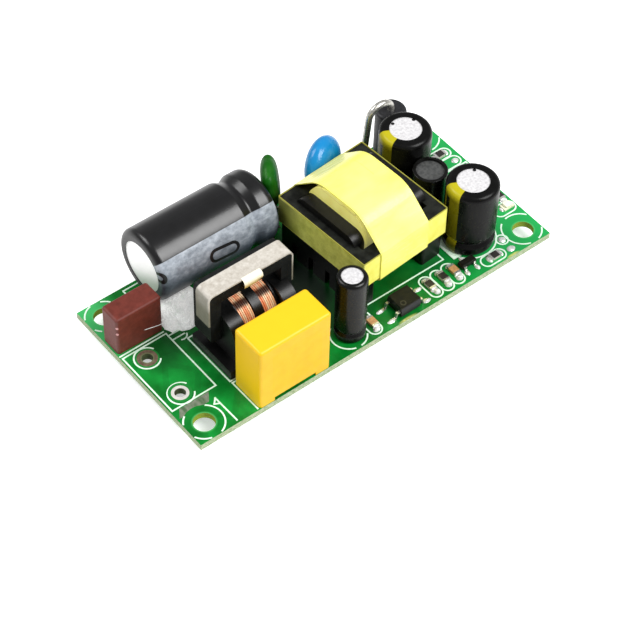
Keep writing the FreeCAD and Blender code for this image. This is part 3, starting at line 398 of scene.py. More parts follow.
def makeBoardGreen(look):
    green = Finish("boardGreen", specular=0.22)
    x, y, z = green.axis("X"), green.axis("Y"), green.axis("Z")
    cloud = green.grain(0.22, 3.0, 0.55)
    weave = green.grain(8.0, 2.0)
    traces = green.cells(0.22, "DISTANCE_TO_EDGE", (1.0, 0.7, 1.0)) < 0.09
    tone = green.ramp(cloud, (0.3, linear(0, 96, 24)), (0.62, linear(10, 136, 48)),
                      (0.8, linear(30, 154, 66)))
    tone = green.mix(traces * 0.18, tone, linear(0, 70, 16))
    # painted light: the board painted lighter towards the +X end and at the -X back corner
    tone = green.mix(green.span(x, *look["pale"]) * 0.62, tone, linear(42, 176, 92))
    tone = green.mix(green.blob(*look["corner"]) * 0.8, tone, linear(70, 186, 104))
    top = z > boardTop - 0.02
    # painted shade: dark patches on the top face beside and between the tall parts
    for cx, cy, reachX, reachY, share in look["shades"]:
        tone = green.mix(green.blob(cx, cy, reachX, reachY) * top * share, tone, linear(2, 12, 5))
    pour = (green.cells(0.13, "F1", (1.0, 1.5, 0.0)) < 0.52) * (1.0 - top)
    tone = green.mix(pour * 0.55, tone, linear(70, 170, 84))
    for cx, cy, reachX, reachY in look["stains"]:
        patchy = green.blob(cx, cy, reachX, reachY) * green.grain(1.8, 3.0) * top
        tone = green.mix(patchy * 1.5, tone, linear(206, 206, 120))
    far = green.length(abs(x) - look["holeX"], abs(y) - look["holeY"])
    rim = green.span(far, look["holeRadius"] + 0.02, look["holeRadius"] + look["rimWidth"], 1.0, 0.0)
    tone = green.mix(rim * 0.5, tone, linear(96, 190, 110))
    px, py, wide, deep = look["patch"]
    slanted = abs(x - px - (y - py) * look["patchSlant"]) < wide
    patch = slanted * (abs(y - py) < deep) * (far > look["patchKeep"]) * top
    smear = green.grain(0.9, 3.0, 0.6, (1.0, 0.4, 1.0))
    tin = green.ramp(smear, (0.35, linear(88, 118, 84)), (0.65, linear(158, 160, 146)))
    tone = green.mix(patch, tone, tin)
    side = abs(z - boardTop / 2) < boardTop / 2 - 0.012
    layers = green.grain(2.2, 4.0, 0.65, (1, 1, 3))
    bare = green.ramp(layers, (0.3, linear(96, 128, 74)), (0.5, linear(164, 178, 142)),
                      (0.7, linear(196, 200, 176)))
    wall = green.mix(green.grain(3.0, 3.0), linear(116, 140, 30), linear(164, 176, 70))
    bare = green.mix(far < look["wallReach"], bare, wall)
    green.set(colour=green.mix(side, tone, bare), rough=0.3 + side * 0.35 + (cloud - 0.5) * 0.12,
              metal=patch * 0.45, bump=green.relief(weave + patch * 0.6, 0.012, 0.35))


# Plain finishes: two tones of one colour and a fine grain

def makePlain(name, colour, second, scale=1.2, rough=0.5, coat=0.0, relief=0.01, metal=0.0, specular=0.5):
    made = Finish(name, coat=coat, metal=metal, specular=specular)
    cloud = made.grain(scale, 4.0)
    fine = made.grain(scale * 9, 3.0)
    made.set(colour=made.mix(made.span(cloud, 0.3, 0.7), colour, second), rough=rough + (fine - 0.5) * 0.16,
             bump=made.relief(fine, relief, 0.5))


# Fuse: dull red brown moulding with two pale marks at its corner edge, and its -X end made lighter by painted
# light

fuseLook = {"markDrops": (1.8, 3.15), "markInset": 0.12, "markRadius": 0.24, "litEndWidth": 0.6}


def makeFuseBrown(look):
    low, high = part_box("fuse_body")
    low, high = low / mm, high / mm
    brown = Finish("fuseBrown", specular=0.3)
    x, y, z = brown.axis("X"), brown.axis("Y"), brown.axis("Z")
    cloud = brown.grain(0.9, 4.0, 0.6)
    fine = brown.grain(11.0, 3.0)
    tone = brown.ramp(cloud, (0.3, linear(86, 32, 22)), (0.7, linear(110, 46, 36)))
    # painted light: the -X end painted lighter and greyer
    end = brown.span(x, low.x, low.x + look["litEndWidth"], 1.0, 0.0)
    tone = brown.mix(end * 0.4, tone, linear(120, 74, 70))
    marks = 0
    corner = brown.length(x - low.x - look["markInset"], y - low.y - look["markInset"])
    for drop in look["markDrops"]:
        marks = marks + (brown.length(corner, z - high.z + drop) < look["markRadius"])
    tone = brown.mix(marks * 0.85, tone, linear(226, 170, 168))
    brown.set(colour=tone, rough=0.5 + (fine - 0.5) * 0.2, bump=brown.relief(fine + cloud, 0.03, 0.4))


# Filter capacitor: satin yellow box, with painted light making it paler on top and brightest at its -X end,
# and a duller bare panel in front

filterLook = {"litTopReach": (0.6, 0.1), "litEndWidth": 0.5, "panelShift": 0.3, "panelZ": 7.4,
              "panelHalf": (4.7, 4.3), "panelDepth": 0.2}


def makeFilterYellow(look):
    low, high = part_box("x_cap_case")
    low, high = low / mm, high / mm
    yellow = Finish("filterYellow", specular=0.3)
    x, y, z = yellow.axis("X"), yellow.axis("Y"), yellow.axis("Z")
    cloud = yellow.grain(0.5, 3.0)
    fine = yellow.grain(14.0, 2.0)
    tone = yellow.ramp(cloud, (0.3, linear(222, 176, 14)), (0.7, linear(230, 185, 22)))
    # painted light: the top face and the top of the sides painted paler
    litTop = yellow.span(z, high.z - look["litTopReach"][0], high.z - look["litTopReach"][1])
    tone = yellow.mix(litTop * 0.8, tone, linear(238, 190, 26))
    # painted light: the -X end painted brightest, more so towards the bottom
    end = yellow.span(x, low.x, low.x + look["litEndWidth"], 1.0, 0.0) * yellow.span(z, high.z, low.z, 0.3, 1.0)
    tone = yellow.mix(end * 0.9, tone, linear(255, 208, 2))
    halfX, halfZ = look["panelHalf"]
    panel = (abs(x - (low.x + high.x) / 2 - look["panelShift"]) < halfX) * (abs(z - look["panelZ"]) < halfZ)
    frost = panel * (y < low.y + look["panelDepth"]) * yellow.grain(1.2, 2.0)
    yellow.set(colour=tone, rough=0.36 + frost * 0.2 + (fine - 0.5) * 0.1,
               bump=yellow.relief(fine + cloud * 2, 0.012, 0.5))


# Wound parts: cores, wire and tapes; heights are above the board

copperLook = {"shadeAngle": 112.0, "shadeReach": (4.0, 15.0), "crest": (0.2, 0.08)}
strapLook = {"low": (13.0, 10.6), "shadedSideX": (-24.3, -24.1), "shadedSideY": (-4.15, -3.9)}
creamLook = {"shadedCurl": (14.3, 13.4)}


def makeFerrite(name, dark, light, sheen):
    made = Finish(name, specular=sheen)
    pits = made.cells(5.0)
    fine = made.grain(9.0, 4.0, 0.65)
    cloud = made.grain(0.7, 3.0)
    made.set(colour=made.mix(made.span(cloud + fine * 0.5, 0.45, 1.0), dark, light),
             rough=0.55 + (fine - 0.5) * 0.3, bump=made.relief(fine + made.span(pits, 0.0, 0.25), 0.03, 0.5))


def makeCopper(look):
    low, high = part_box("choke_winding_left")
    low, high = low / mm, high / mm
    wire = Finish("copperWire", coatRough=0.1, specular=0.3)
    rise, ahead = wire.axis("Z") - (low.z + high.z) / 2, wire.axis("Y") - (low.y + high.y) / 2
    angle = wire.turned(rise, ahead)
    outer = (high.y - low.y) / 2
    cloud = wire.grain(1.3, 3.0)
    strand = wire.grain(2.4, 1.0, 0.5, (1.0, 0.05, 0.05))
    tone = wire.ramp(strand + (cloud - 0.5) * 0.4, (0.3, linear(246, 140, 92)), (0.5, linear(255, 186, 140)),
                     (0.7, linear(255, 224, 186)))
    band = wire.span(abs(angle - look["shadeAngle"]), *look["shadeReach"], 1.0, 0.0)
    crest = wire.span(wire.length(rise, ahead), outer - look["crest"][0], outer - look["crest"][1])
    lit = crest * (1.0 - band * 0.96)
    wire.set(colour=wire.mix(lit, linear(48, 14, 5), tone), rough=0.34 + (cloud - 0.5) * 0.12,
             metal=lit * 0.08, coat=lit * 0.2)


def makeStrapTape(look):
    strap = Finish("strapTape", coat=0.1, specular=0.35)
    z = strap.axis("Z")
    stain = strap.grain(1.3, 4.0, 0.6)
    streak = strap.grain(2.2, 3.0, 0.6, (1.0, 1.0, 0.25))
    speck = strap.cells(3.4)
    tone = strap.ramp(stain + (streak - 0.5) * 0.4, (0.3, linear(172, 165, 154)),
                      (0.5, linear(187, 181, 171)), (0.75, linear(204, 199, 190)))
    tone = strap.mix(strap.span(speck, 0.0, 0.12, 0.3, 0.0), tone, linear(96, 86, 72))
    # painted shade: the strap painted darker towards its lower edge
    low = strap.span(z, boardTop + look["low"][0], boardTop + look["low"][1])
    tone = strap.mix(low * 0.75, tone, linear(92, 90, 66))
    # painted shade: the -X side face, behind its front corner, painted darker grey
    edge = strap.span(strap.axis("X"), *look["shadedSideX"], 1.0, 0.0) * strap.span(strap.axis("Y"), *look["shadedSideY"])
    tone = strap.mix(edge * 0.6, tone, linear(112, 112, 98))
    strap.set(colour=tone, rough=0.5, bump=strap.relief(stain * 3 + streak, 0.05, 0.6))


def makeCreamTape(look):
    cream = Finish("creamTape", coat=0.25)
    fine = cream.grain(2.0, 3.0)
    # painted light: the tab's top painted near white as a highlight, and the curl below painted darker yellow
    # as shade
    shadedCurl = cream.span(cream.axis("Z"), boardTop + look["shadedCurl"][0], boardTop + look["shadedCurl"][1])
    tone = cream.mix(shadedCurl, linear(244, 240, 222), linear(214, 186, 104))
    cream.set(colour=cream.mix(fine * 0.25, tone, linear(214, 196, 150)), rough=0.35,
              bump=cream.relief(fine, 0.03, 0.4))


# Transformer tapes: u and v run along its own sides, from its middle

trafoPlace = {"x": 8.45, "y": -0.35, "turn": 4.3, "halfX": 8.85, "coreTop": 11.0, "coreBase": 5.7,
              "wrapMiddle": -0.4, "wrapEdge": (4.55, 5.1), "seam": 2.1, "gapShadowLine": -5.07, "rollTop": 15.0,
              "rollShade": (14.0, 11.5), "dull": (2.5, 9.0)}


def trafoAxes(made, place):
    turn = math.radians(place["turn"])
    x, y = made.axis("X") - place["x"], made.axis("Y") - place["y"]
    return x * math.cos(turn) + y * math.sin(turn), y * math.cos(turn) - x * math.sin(turn)


def makeWrapTape(place):
    tape = Finish("wrapTape", coat=0.12, coatRough=0.1, specular=0.35)
    u, v = trafoAxes(tape, place)
    z = tape.axis("Z")
    ripple = tape.grain(0.32, 2.0, 0.4, (0.5, 1.0, 1.0))
    crease = tape.grain(1.4, 3.0, 0.6, (0.25, 1.0, 1.0))
    fine = tape.grain(5.0, 2.0)
    tone = tape.ramp(ripple, (0.3, linear(238, 234, 108)), (0.7, linear(245, 241, 134)))
    edge = tape.span(abs(u - place["wrapMiddle"]), *place["wrapEdge"])
    tone = tape.mix(edge * 0.35, tone, linear(238, 232, 90))
    front = tape.span(z, boardTop + place["coreTop"] + 0.2, boardTop + place["coreTop"] - 1.2)
    tone = tape.mix(front * 0.45, tone, linear(246, 242, 112))
    seam = tape.span(abs(u - place["seam"]), 0.0, 0.09, 1.0, 0.0) * (v > 0)
    tone = tape.mix(seam * 0.5, tone, linear(196, 190, 80))
    tape.set(colour=tone, rough=0.26 + (crease - 0.5) * 0.14,
             bump=tape.relief(crease * 0.6 + fine * 0.15 + edge * crease * 1.2, 0.09, 0.5))


def makeMarginTape(place):
    # painted light: a faint yellow glow lightens the margin tape
    tape = Finish("marginTape", coat=0.1, coatRough=0.12, specular=0.3, glow=(0.9, 0.86, 0.34),
                  glowStrength=0.24)
    u = trafoAxes(tape, place)[0]
    z = tape.axis("Z")
    layers = tape.grain(2.2, 2.0, 0.5, (1.6, 0.12, 0.12))
    wave = tape.grain(0.5, 2.0)
    tone = tape.ramp(layers, (0.3, linear(222, 212, 84)), (0.6, linear(242, 236, 128)))
    # painted shadow: a dark line in the gap at the wrap tape's edge; a second dark line runs along the top of
    # the roll
    line = tape.span(abs(u - place["gapShadowLine"] + (wave - 0.5) * 0.3), 0.0, 0.1, 1.0, 0.0)
    line = line + tape.span(abs(z - boardTop - place["rollTop"] - (wave - 0.5)), 0.0, 0.12, 0.7, 0.0)
    tone = tape.mix(line * 0.75, tone, linear(120, 96, 30))
    # painted shade: the lower part of the roll painted darker gold
    low = tape.span(z, boardTop + place["rollShade"][0], boardTop + place["rollShade"][1])
    tone = tape.mix(low * 0.5, tone, linear(214, 204, 40))
    tape.set(colour=tone, rough=0.3, bump=tape.relief(layers, 0.06, 0.6))


def makeBandTape(place):
    tape = Finish("bandTape", coat=0.1, coatRough=0.1, specular=0.3)
    u, v = trafoAxes(tape, place)
    z = tape.axis("Z")
    cloud = tape.grain(0.6, 4.0, 0.6)
    fine = tape.grain(4.0, 3.0)
    bright = tape.ramp(cloud, (0.3, linear(226, 220, 84)), (0.7, linear(240, 236, 118)))
    # painted shade: the end faces take a dimmer ramp, darker still towards their back
    dull = tape.ramp(cloud + (fine - 0.5) * 0.3, (0.35, linear(196, 199, 92)), (0.65, linear(228, 230, 118)))
    dull = tape.mix(tape.span(v, *place["dull"]) * 0.85, dull, linear(78, 82, 26))
    ends = abs(u) > place["halfX"] + 0.02
    top, base = boardTop + place["coreTop"], boardTop + place["coreBase"]
    # painted highlight: thin lighter lines along the top and bottom edges of the end faces
    rim = tape.span(z, top - 0.3, top + 0.02)
    lower = tape.span(z, base + 0.25, base - 0.05)
    shade = ends * (1.0 - rim * 0.9 - lower * 0.35)
    # painted shade: the band's upward-facing top edge painted dark
    shadedTopEdge = tape.span(z, top - 0.02, top)
    tone = tape.mix(shadedTopEdge * 0.7, tape.mix(shade, bright, dull), linear(96, 94, 30))
    tape.set(colour=tone, rough=0.3 + (fine - 0.5) * 0.1, bump=tape.relief(cloud + fine * 0.3, 0.05, 0.5))


# Sleeved capacitors: printed stripes run down the sleeves, no lettering; painted light and shade lie on the
# stripes

bulkLook = {"axisY": 12.95, "axisZ": 7.71, "stripeTop": -44.5, "stripeEnd": 38.0, "mark": (-13.1, -26.7),
            "markAngle": -11.2, "skew": 0.85, "markHalf": 1.5, "markRadius": 1.06, "markWidth": 0.28,
            "radius": 6.19, "stripeShadeEnd": 14.0, "lowShadeReach": (-6.0, 34.0)}


def makeBulkSleeve(look):
    film = Finish("bulkSleeve", coat=0.12, coatRough=0.16, specular=0.4)
    x = film.axis("X")
    angle = film.turned(look["axisZ"] - film.axis("Z"), look["axisY"] - film.axis("Y"))
    stripe = film.span(angle, look["stripeTop"] - 0.4, look["stripeTop"] + 0.4) * (angle < look["stripeEnd"])
    frost = film.grain(1.1, 5.0, 0.62, (0.7, 1.0, 1.0))
    soft = film.grain(0.5, 3.0)
    black = film.ramp(soft, (0.3, linear(7, 7, 8)), (0.7, linear(15, 15, 17)))
    # painted light and shade: the grey stripe light at its upper edge and darker down round the can, darkest
    # low down
    fall = film.span(angle + (soft - 0.5) * 30.0, look["stripeTop"], look["stripeShadeEnd"])
    grey = film.mix(fall, linear(166, 174, 184), linear(62, 72, 84))
    grey = film.mix(film.span(angle, *look["lowShadeReach"]), grey, linear(36, 44, 52))
    grey = film.mix(film.span(frost, 0.38, 0.72, 0.0, 0.5), grey, linear(44, 50, 58))
    # painted highlight: light mottles near the stripe's upper edge
    bright = film.span(frost, 0.5, 0.3, 0.0, 0.3) * (1.0 - fall)
    grey = film.mix(bright, grey, linear(214, 218, 224))
    line = 0
    lean = (x - look["mark"][0]) * look["skew"] + look["markAngle"]
    rise = (angle - lean) * (math.pi / 180 * look["radius"])
    for middle in look["mark"]:
        along = film.clip(abs(x - middle) - look["markHalf"])
        line = line + (abs(film.length(along, rise) - look["markRadius"]) < look["markWidth"])
    tone = film.mix(stripe, black, film.mix(line, grey, linear(14, 14, 16)))
    film.set(colour=tone, rough=0.3 + stripe * 0.12 + (frost - 0.5) * 0.08,
             bump=film.relief(soft + frost * 0.15, 0.04, 0.35))


outputLook = {"front": (23.81, -8.76), "rear": (22.75, 6.46), "between": -1.0, "stripe": (-28.0, 19.5),
              "bar": (-20.0, -7.5), "barDrop": 1.4, "barGap": (5.6, 0.75), "wall": (3.9, 4.25), "top": 14.05,
              "wallShadeDrop": 1.6}


def makeOutputSleeve(look):
    film = Finish("outputSleeve", coat=0.03, coatRough=0.14, specular=0.12)
    x, y, z = film.axis("X"), film.axis("Y"), film.axis("Z")
    rear = y > look["between"]
    cx = look["front"][0] + rear * (look["rear"][0] - look["front"][0])
    cy = look["front"][1] + rear * (look["rear"][1] - look["front"][1])
    angle = film.turned(cy - y, cx - x)
    far = film.length(cx - x, cy - y)
    start, end = look["stripe"]
    stripe = film.span(angle, start - 0.6, start + 0.6) * film.span(angle, end - 0.6, end + 0.6, 1.0, 0.0)
    soft = film.grain(0.6, 3.0)
    fine = film.grain(6.0, 3.0)
    black = film.ramp(soft, (0.3, linear(6, 6, 6)), (0.7, linear(14, 14, 14)))
    yellow = film.mix(fine * 0.4, linear(184, 174, 30), linear(136, 128, 12))
    # painted shade: the stripe darker olive down the side wall, below the top
    side = film.span(far, *look["wall"]) * film.span(z, look["top"], look["top"] - look["wallShadeDrop"])
    yellow = film.mix(side * 0.85, yellow, linear(74, 70, 2))
    first, last = look["bar"]
    bar = (angle > first) * (angle < last) * (z < look["top"] - look["barDrop"]) * (far > look["wall"][0])
    middle, half = look["barGap"]
    bar = bar * (1.0 - (abs(z - middle) < half))
    tone = film.mix(stripe, black, film.mix(bar, yellow, linear(12, 12, 10)))
    film.set(colour=tone, rough=0.28 + (soft - 0.5) * 0.1, bump=film.relief(soft + fine * 0.1, 0.04, 0.35))


# Cans: brushed aluminium, small dark notches on the tops, and a scored end on the lying one, painted white
# and glowing as painted light, with a painted reflection of the board on its lower part

canLook = {"notches": ((25.5, -7.05), (25.12, 7.33), (21.87, 8.66)), "notchRadius": 0.3, "lyingEnd": -20.0,
           "axisY": 12.95, "axisZ": 7.71, "score": (0.9, 0.09, 3.4), "fall": (0.8, -4.0), "reflectionLean": 0.6}


def makeCanMetal(look):
    can = Finish("canMetal", coatRough=0.2, coat=0.1, glowStrength=0.22)
    x, y, z = can.axis("X"), can.axis("Y"), can.axis("Z")
    brushed = can.grain(2.4, 4.0, 0.6)
    speck = can.cells(1.5)
    tone = can.ramp(brushed, (0.3, linear(196, 194, 196)), (0.6, linear(228, 227, 228)))
    tone = can.mix(can.span(speck, 0.0, 0.16, 0.7, 0.0), tone, linear(140, 134, 138))
    notch = 0
    for cx, cy in look["notches"]:
        notch = notch + can.spot(cx, cy, look["notchRadius"])
    tone = can.mix(notch, tone, linear(20, 20, 20))
    lying = x < look["lyingEnd"]
    cy, cz = look["axisY"], look["axisZ"]
    shift, half, reach = look["score"]
    score = lying * (abs(y - cy - shift) < half) * (abs(z - cz) < reach)
    tone = can.mix(score * 0.7, tone, linear(120, 124, 128))
    # painted light: the lying can's end painted near white
    tone = can.mix(lying * 0.95, tone, linear(255, 255, 254))
    # painted reflection: the lower part of that end painted green-grey, as the board reflected
    above, below = look["fall"]
    low = can.span(z + (y - cy) * look["reflectionLean"], cz + above, cz + below) * lying
    tone = can.mix(low * 0.65, tone, linear(150, 176, 152))
    # painted light: the rest of that end glows white
    can.set(colour=tone, rough=0.42 + (brushed - 0.5) * 0.2, metal=(x > look["lyingEnd"]) * 0.25,
            glow=can.mix(lying * (1.0 - low), (0.0, 0.0, 0.0), (1.0, 1.0, 1.0)),
            bump=can.relief(brushed * 0.5 - score * 2, 0.03, 0.5))


# Solder, pads, moulded packages, dipped skins and silicone

def makeSolder():
    tin = Finish("solder", metal=0.4, coat=0.2, coatRough=0.1)
    wave = tin.grain(1.6, 3.0, 0.6)
    fine = tin.grain(8.0, 3.0)
    tone = tin.ramp(wave, (0.3, linear(200, 200, 198)), (0.55, linear(240, 240, 238)),
                    (0.8, linear(252, 252, 250)))
    tin.set(colour=tone, rough=0.26 + (fine - 0.5) * 0.3, bump=tin.relief(wave * 2 + fine * 0.4, 0.06, 0.7))


padLook = {"dull": (-31.6, 2.15, 1.64), "bright": (-31.6, -6.35, 1.4), "dullReach": 2.2, "ring": (1.25, 0.85),
           "padReach": 2.3}


def makePads(look):
    pad = Finish("padTin", specular=0.35)
    x, y, z = pad.axis("X"), pad.axis("Y"), pad.axis("Z")
    wave = pad.grain(1.4, 3.0, 0.6)
    bright = pad.ramp(wave, (0.3, linear(228, 224, 218)), (0.7, linear(252, 250, 244)))
    dull = pad.ramp(wave, (0.35, linear(96, 78, 64)), (0.7, linear(132, 114, 94)))
    worn = pad.spot(*look["dull"][:2], look["dullReach"])
    inner = pad.length(x - look["dull"][0], y - look["dull"][1])
    dull = pad.mix(pad.span(inner, *look["ring"]) * 0.6, dull, linear(128, 150, 104))
    mask = 0
    for cx, cy, radius in (look["dull"], look["bright"]):
        far = pad.length(x - cx, y - cy)
        mask = mask + (far > radius) * (far < look["padReach"])
    mask = mask * (z > boardTop)
    tone = pad.mix(worn, bright, dull)
    tone = pad.mix(mask, tone, linear(16, 124, 46))
    tone = pad.mix((z < boardTop - 0.02) * (z > -0.02), tone, linear(96, 108, 76))
    pad.set(colour=tone, rough=0.34 + worn * 0.16, metal=(1.0 - mask) * (0.5 - worn * 0.2),
            bump=pad.relief(wave * (1.0 - mask), 0.05, 0.6))


packageLook = {"mark": (5.4, -14.5), "markRadius": 0.42, "markWidth": 0.09, "left": 4.0,
               "front": (-15.6, -15.3), "tall": 1.95}


def makePackage(look):
    black = Finish("packageBlack", specular=0.25)
    x, y, z = black.axis("X"), black.axis("Y"), black.axis("Z")
    fine = black.grain(14.0, 3.0)
    soft = black.grain(1.6, 3.0)
    tone = black.ramp(soft, (0.3, linear(9, 9, 5)), (0.7, linear(22, 22, 14)))
    top = z > boardTop
    far = black.length(x - look["mark"][0], y - look["mark"][1])
    ring = abs(far - look["markRadius"]) < look["markWidth"]
    tone = black.mix(ring * top * 0.5, tone, linear(84, 80, 66))
    front, behind = look["front"]
    side = top * (z < boardTop + look["tall"]) * (y > front) * (y < behind) * (x > look["left"])
    tone = black.mix(side * 0.5, tone, linear(50, 50, 56))
    black.set(colour=tone, rough=0.46 + (fine - 0.5) * 0.24, bump=black.relief(fine + ring * 2, 0.03, 0.5))


def makeChipBlack():
    chip = Finish("chipBlack", coat=0.25, coatRough=0.2)
    fine = chip.grain(7.0, 3.0)
    top = abs(chip.facing("Z")) > 0.7
    tone = chip.mix(top, linear(214, 206, 196), linear(30, 26, 24))
    chip.set(colour=chip.mix(fine * 0.35, tone, linear(60, 54, 50)), rough=0.34,
             bump=chip.relief(fine, 0.015, 0.4))


def makeEpoxy(name, deep, bright, pale, low, high, sheen=0.3):
    dip = Finish(name, coat=sheen / 3, coatRough=0.06, specular=sheen)
    cloud = dip.grain(0.5, 3.0, 0.5, (1, 1, 0.6))
    streak = dip.grain(1.6, 3.0, 0.6, (0.5, 0.5, 1.0))
    # painted light: the dipped skin painted dark low down and brighter towards its top
    tone = dip.mix(dip.span(dip.axis("Z"), low, high), deep, bright)
    tone = dip.mix(dip.span(cloud + (streak - 0.5) * 0.3, 0.45, 0.8, 0.0, 0.4), tone, pale)
    dip.set(colour=tone, rough=0.57 - sheen * 1.15 + (streak - 0.5) * 0.12,
            bump=dip.relief(cloud * 2 + streak * 0.3, 0.12, 0.5))


def makeSiliconeFinish():
    # painted light: the silicone glows faintly white, lightening it against the shade of the parts around it
    glue = Finish("silicone", coat=0.15, coatRough=0.25, glow=(1.0, 1.0, 1.0), glowStrength=0.3)
    lump = glue.grain(0.9, 4.0, 0.65)
    speck = glue.grain(4.5, 4.0, 0.75)
    cell = glue.cells(2.2)
    tone = glue.ramp(lump + (speck - 0.5) * 0.5, (0.28, linear(190, 204, 190)), (0.42, linear(226, 232, 226)),
                     (0.62, linear(246, 247, 244)))
    tone = glue.mix(glue.span(cell, 0.0, 0.2, 0.15, 0.0), tone, linear(140, 160, 144))
    glue.set(colour=tone, rough=0.4, bump=glue.relief(lump * 3 + speck + cell, 0.3, 0.8))


makeBoardGreen(boardLook)
makeFuseBrown(fuseLook)
makeFilterYellow(filterLook)
makePlain("potting", linear(214, 178, 60), linear(232, 200, 84), 1.2, 0.6)
makeFerrite("coreGrey", linear(9, 10, 8), linear(36, 38, 34), 0.12)
makeFerrite("coreBlack", linear(6, 7, 7), linear(22, 24, 24), 0.2)
makePlain("formerBlack", linear(4, 4, 4), linear(13, 13, 13), 1.2, 0.34, 0.0, 0.02, specular=0.3)
makeCopper(copperLook)
makeStrapTape(strapLook)
makeCreamTape(creamLook)
makeWrapTape(trafoPlace)
makeMarginTape(trafoPlace)
makeBandTape(trafoPlace)
makeBulkSleeve(bulkLook)
makeOutputSleeve(outputLook)
makePlain("plainSleeve", linear(4, 4, 3), linear(11, 11, 9), 0.7, 0.26, 0.04, 0.02, specular=0.25)
makePlain("rubber", linear(12, 12, 12), linear(24, 24, 24), 2.0, 0.7)
makeCanMetal(canLook)
makePlain("drumGrey", linear(52, 53, 53), linear(76, 77, 76), 2.0, 0.62, 0.0, 0.03)
makePlain("diodeBlack", linear(22, 22, 25), linear(36, 36, 39), 2.4, 0.45, 0.0, 0.02, specular=0.4)
makeEpoxy("blueEpoxy", linear(4, 66, 118), linear(16, 124, 186), linear(80, 164, 206), 4.0, 10.5)
makeEpoxy("greenEpoxy", linear(1, 18, 1), linear(14, 84, 10), linear(50, 120, 36), 8.5, 14.0, 0.12)
makePackage(packageLook)
makeChipBlack()
makePlain("chipTan", linear(168, 124, 78), linear(196, 150, 100), 3.0, 0.4, 0.15)
makePlain("ledYellow", linear(240, 238, 206), linear(250, 248, 226), 2.0, 0.25, 0.4)
makeSiliconeFinish()
makePlain("tinnedWire", linear(176, 174, 166), linear(222, 220, 214), 3.0, 0.26, 0.0, 0.01, 0.85)
makeSolder()
makePads(padLook)
makePlain("printWhite", linear(206, 240, 214), linear(232, 250, 234), 3.0, 0.55, 0.0, 0.01)
makePlain("terminal", linear(206, 204, 200), linear(240, 239, 236), 3.0, 0.26, 0.0, 0.01, 0.8)

pieceFinishes = {
    "boardGreen": "circuit_board", "padTin": "wire_pads", "solder": "solder_joints chip_solder",
    "terminal": "chip_terminations", "fuseBrown": "fuse_body", "filterYellow": "x_cap_case",
    "potting": "x_cap_potting", "coreBlack": "choke_core_left choke_core_right",
    "coreGrey": "transformer_core_left transformer_core_right",
    "formerBlack": "choke_bobbin transformer_bobbin",
    "copperWire": "choke_winding_left choke_winding_right transformer_winding drum_winding",
    "strapTape": "choke_core_strap", "creamTape": "choke_joint_tape",
    "canMetal": "bulk_can output_cans supply_can", "bulkSleeve": "bulk_sleeve",
    "outputSleeve": "output_sleeves", "plainSleeve": "supply_sleeve drum_sleeve",
    "rubber": "bulk_bung output_bungs supply_bung", "wrapTape": "transformer_wrap_tape",
    "marginTape": "transformer_winding_tape", "bandTape": "transformer_core_band", "drumGrey": "drum_core",
    "diodeBlack": "diode_body", "blueEpoxy": "y_cap_body", "greenEpoxy": "film_cap_body",
    "packageBlack": "optocoupler_body regulator_body controller_body bridge_body",
    "chipBlack": "chip_resistors", "chipTan": "chip_capacitors", "ledYellow": "status_led",
    "silicone": "silicone_bead"}
for name, pieces in pieceFinishes.items():
    paint(name, *pieces.split())
paint("tinnedWire", *[name for name in nodes if name.endswith(("_leads", "_pins"))])
print("finishes painted:", len(finishes))


# White print on the board: lines, arcs and capsules, each a little higher than the one before

printLook = {"width": 0.26, "thick": 0.02, "step": 0.0007, "area": (19.66, -8.75), "areaSize": (1.67, 4.9),
             "areaInset": 0.1}
printLines = (
    ((-34.75, 4.9), (-26.6, 4.95)), ((-34.65, 4.35), (-26.45, 4.4)), ((-26.45, 4.4), (-26.45, -8.45)),
    ((-26.45, -8.45), (-34.6, -8.45)), ((-34.6, -8.45), (-34.65, 4.35)), ((-26.7, 15.5), (-22, 15.5)),
    ((-26.7, 15.5), (-26.7, 14.6)), ((-24.35, 1.6), (-24.3, -9.18)), ((-24.3, -9.18), (-8.4, -9.18)),
    ((-24.35, 1.6), (-23.4, 1.62)), ((-26.41, 3.79), (-24.5, 3.77)), ((-26.37, 2.73), (-24.2, 2.72)),
    ((-24.2, -9.6), (-24.13, -15.85)), ((-24.2, -9.6), (-10.1, -9.6)), ((-28.0, -10.35), (-27.9, -15.66)),
    ((-28.0, -10.35), (-28.8, -11.2)), ((-28.8, -11.2), (-28.1, -11.55)), ((2.0, -10.05), (17.54, -10.05)),
    ((17.54, -10.05), (17.54, 9.6)), ((0.92, 9.89), (0.15, 3.97)), ((34.65, 4.15), (34.65, -3.9)),
    ((29.6, 4.15), (34.65, 4.15)))
printRings = (
    (-31.6, 2.15, 2.07, ((28, 323),)), (-31.55, -6.5, 2.08, ((30, 335),)),
    (-32, -13, 3.17, ((-73, 51), (125, 153), (207, 254))),
    (-32, 13, 3.05, ((100, 157), (205, 228), (36, 66))),
    (31.9, -12.75, 3.3, ((33, 103), (-75, -29), (122, 255))),
    (32, 13, 3.35, ((-90, -35), (33, 64), (116, 240))), (-4.2, -12.9, 2.97, ((120, 256), (272, 325))),
    (23.81, -8.76, 4.65, ((-150, -20),)), (-24.8, 2.75, 0.95, ((-125, -12),)),
    (27.8, -12.6, 1.0, ((-180, 180),)))
printCapsules = (
    (-0.22, -13.1, 1.12, 1.43, 90), (12.2, -13.3, 1.1, 1.25, 90), (14.5, -13.35, 1.1, 1.25, 90),
    (16.8, -13.3, 1.1, 1.25, 90), (24.15, -14.65, 1.1, 1.25, 0), (32.6, -7.75, 1.2, 0.9, 0),
    (32.0, 7.85, 1.1, 1.1, 0), (32.2, 5.5, 1.1, 1.1, 0))


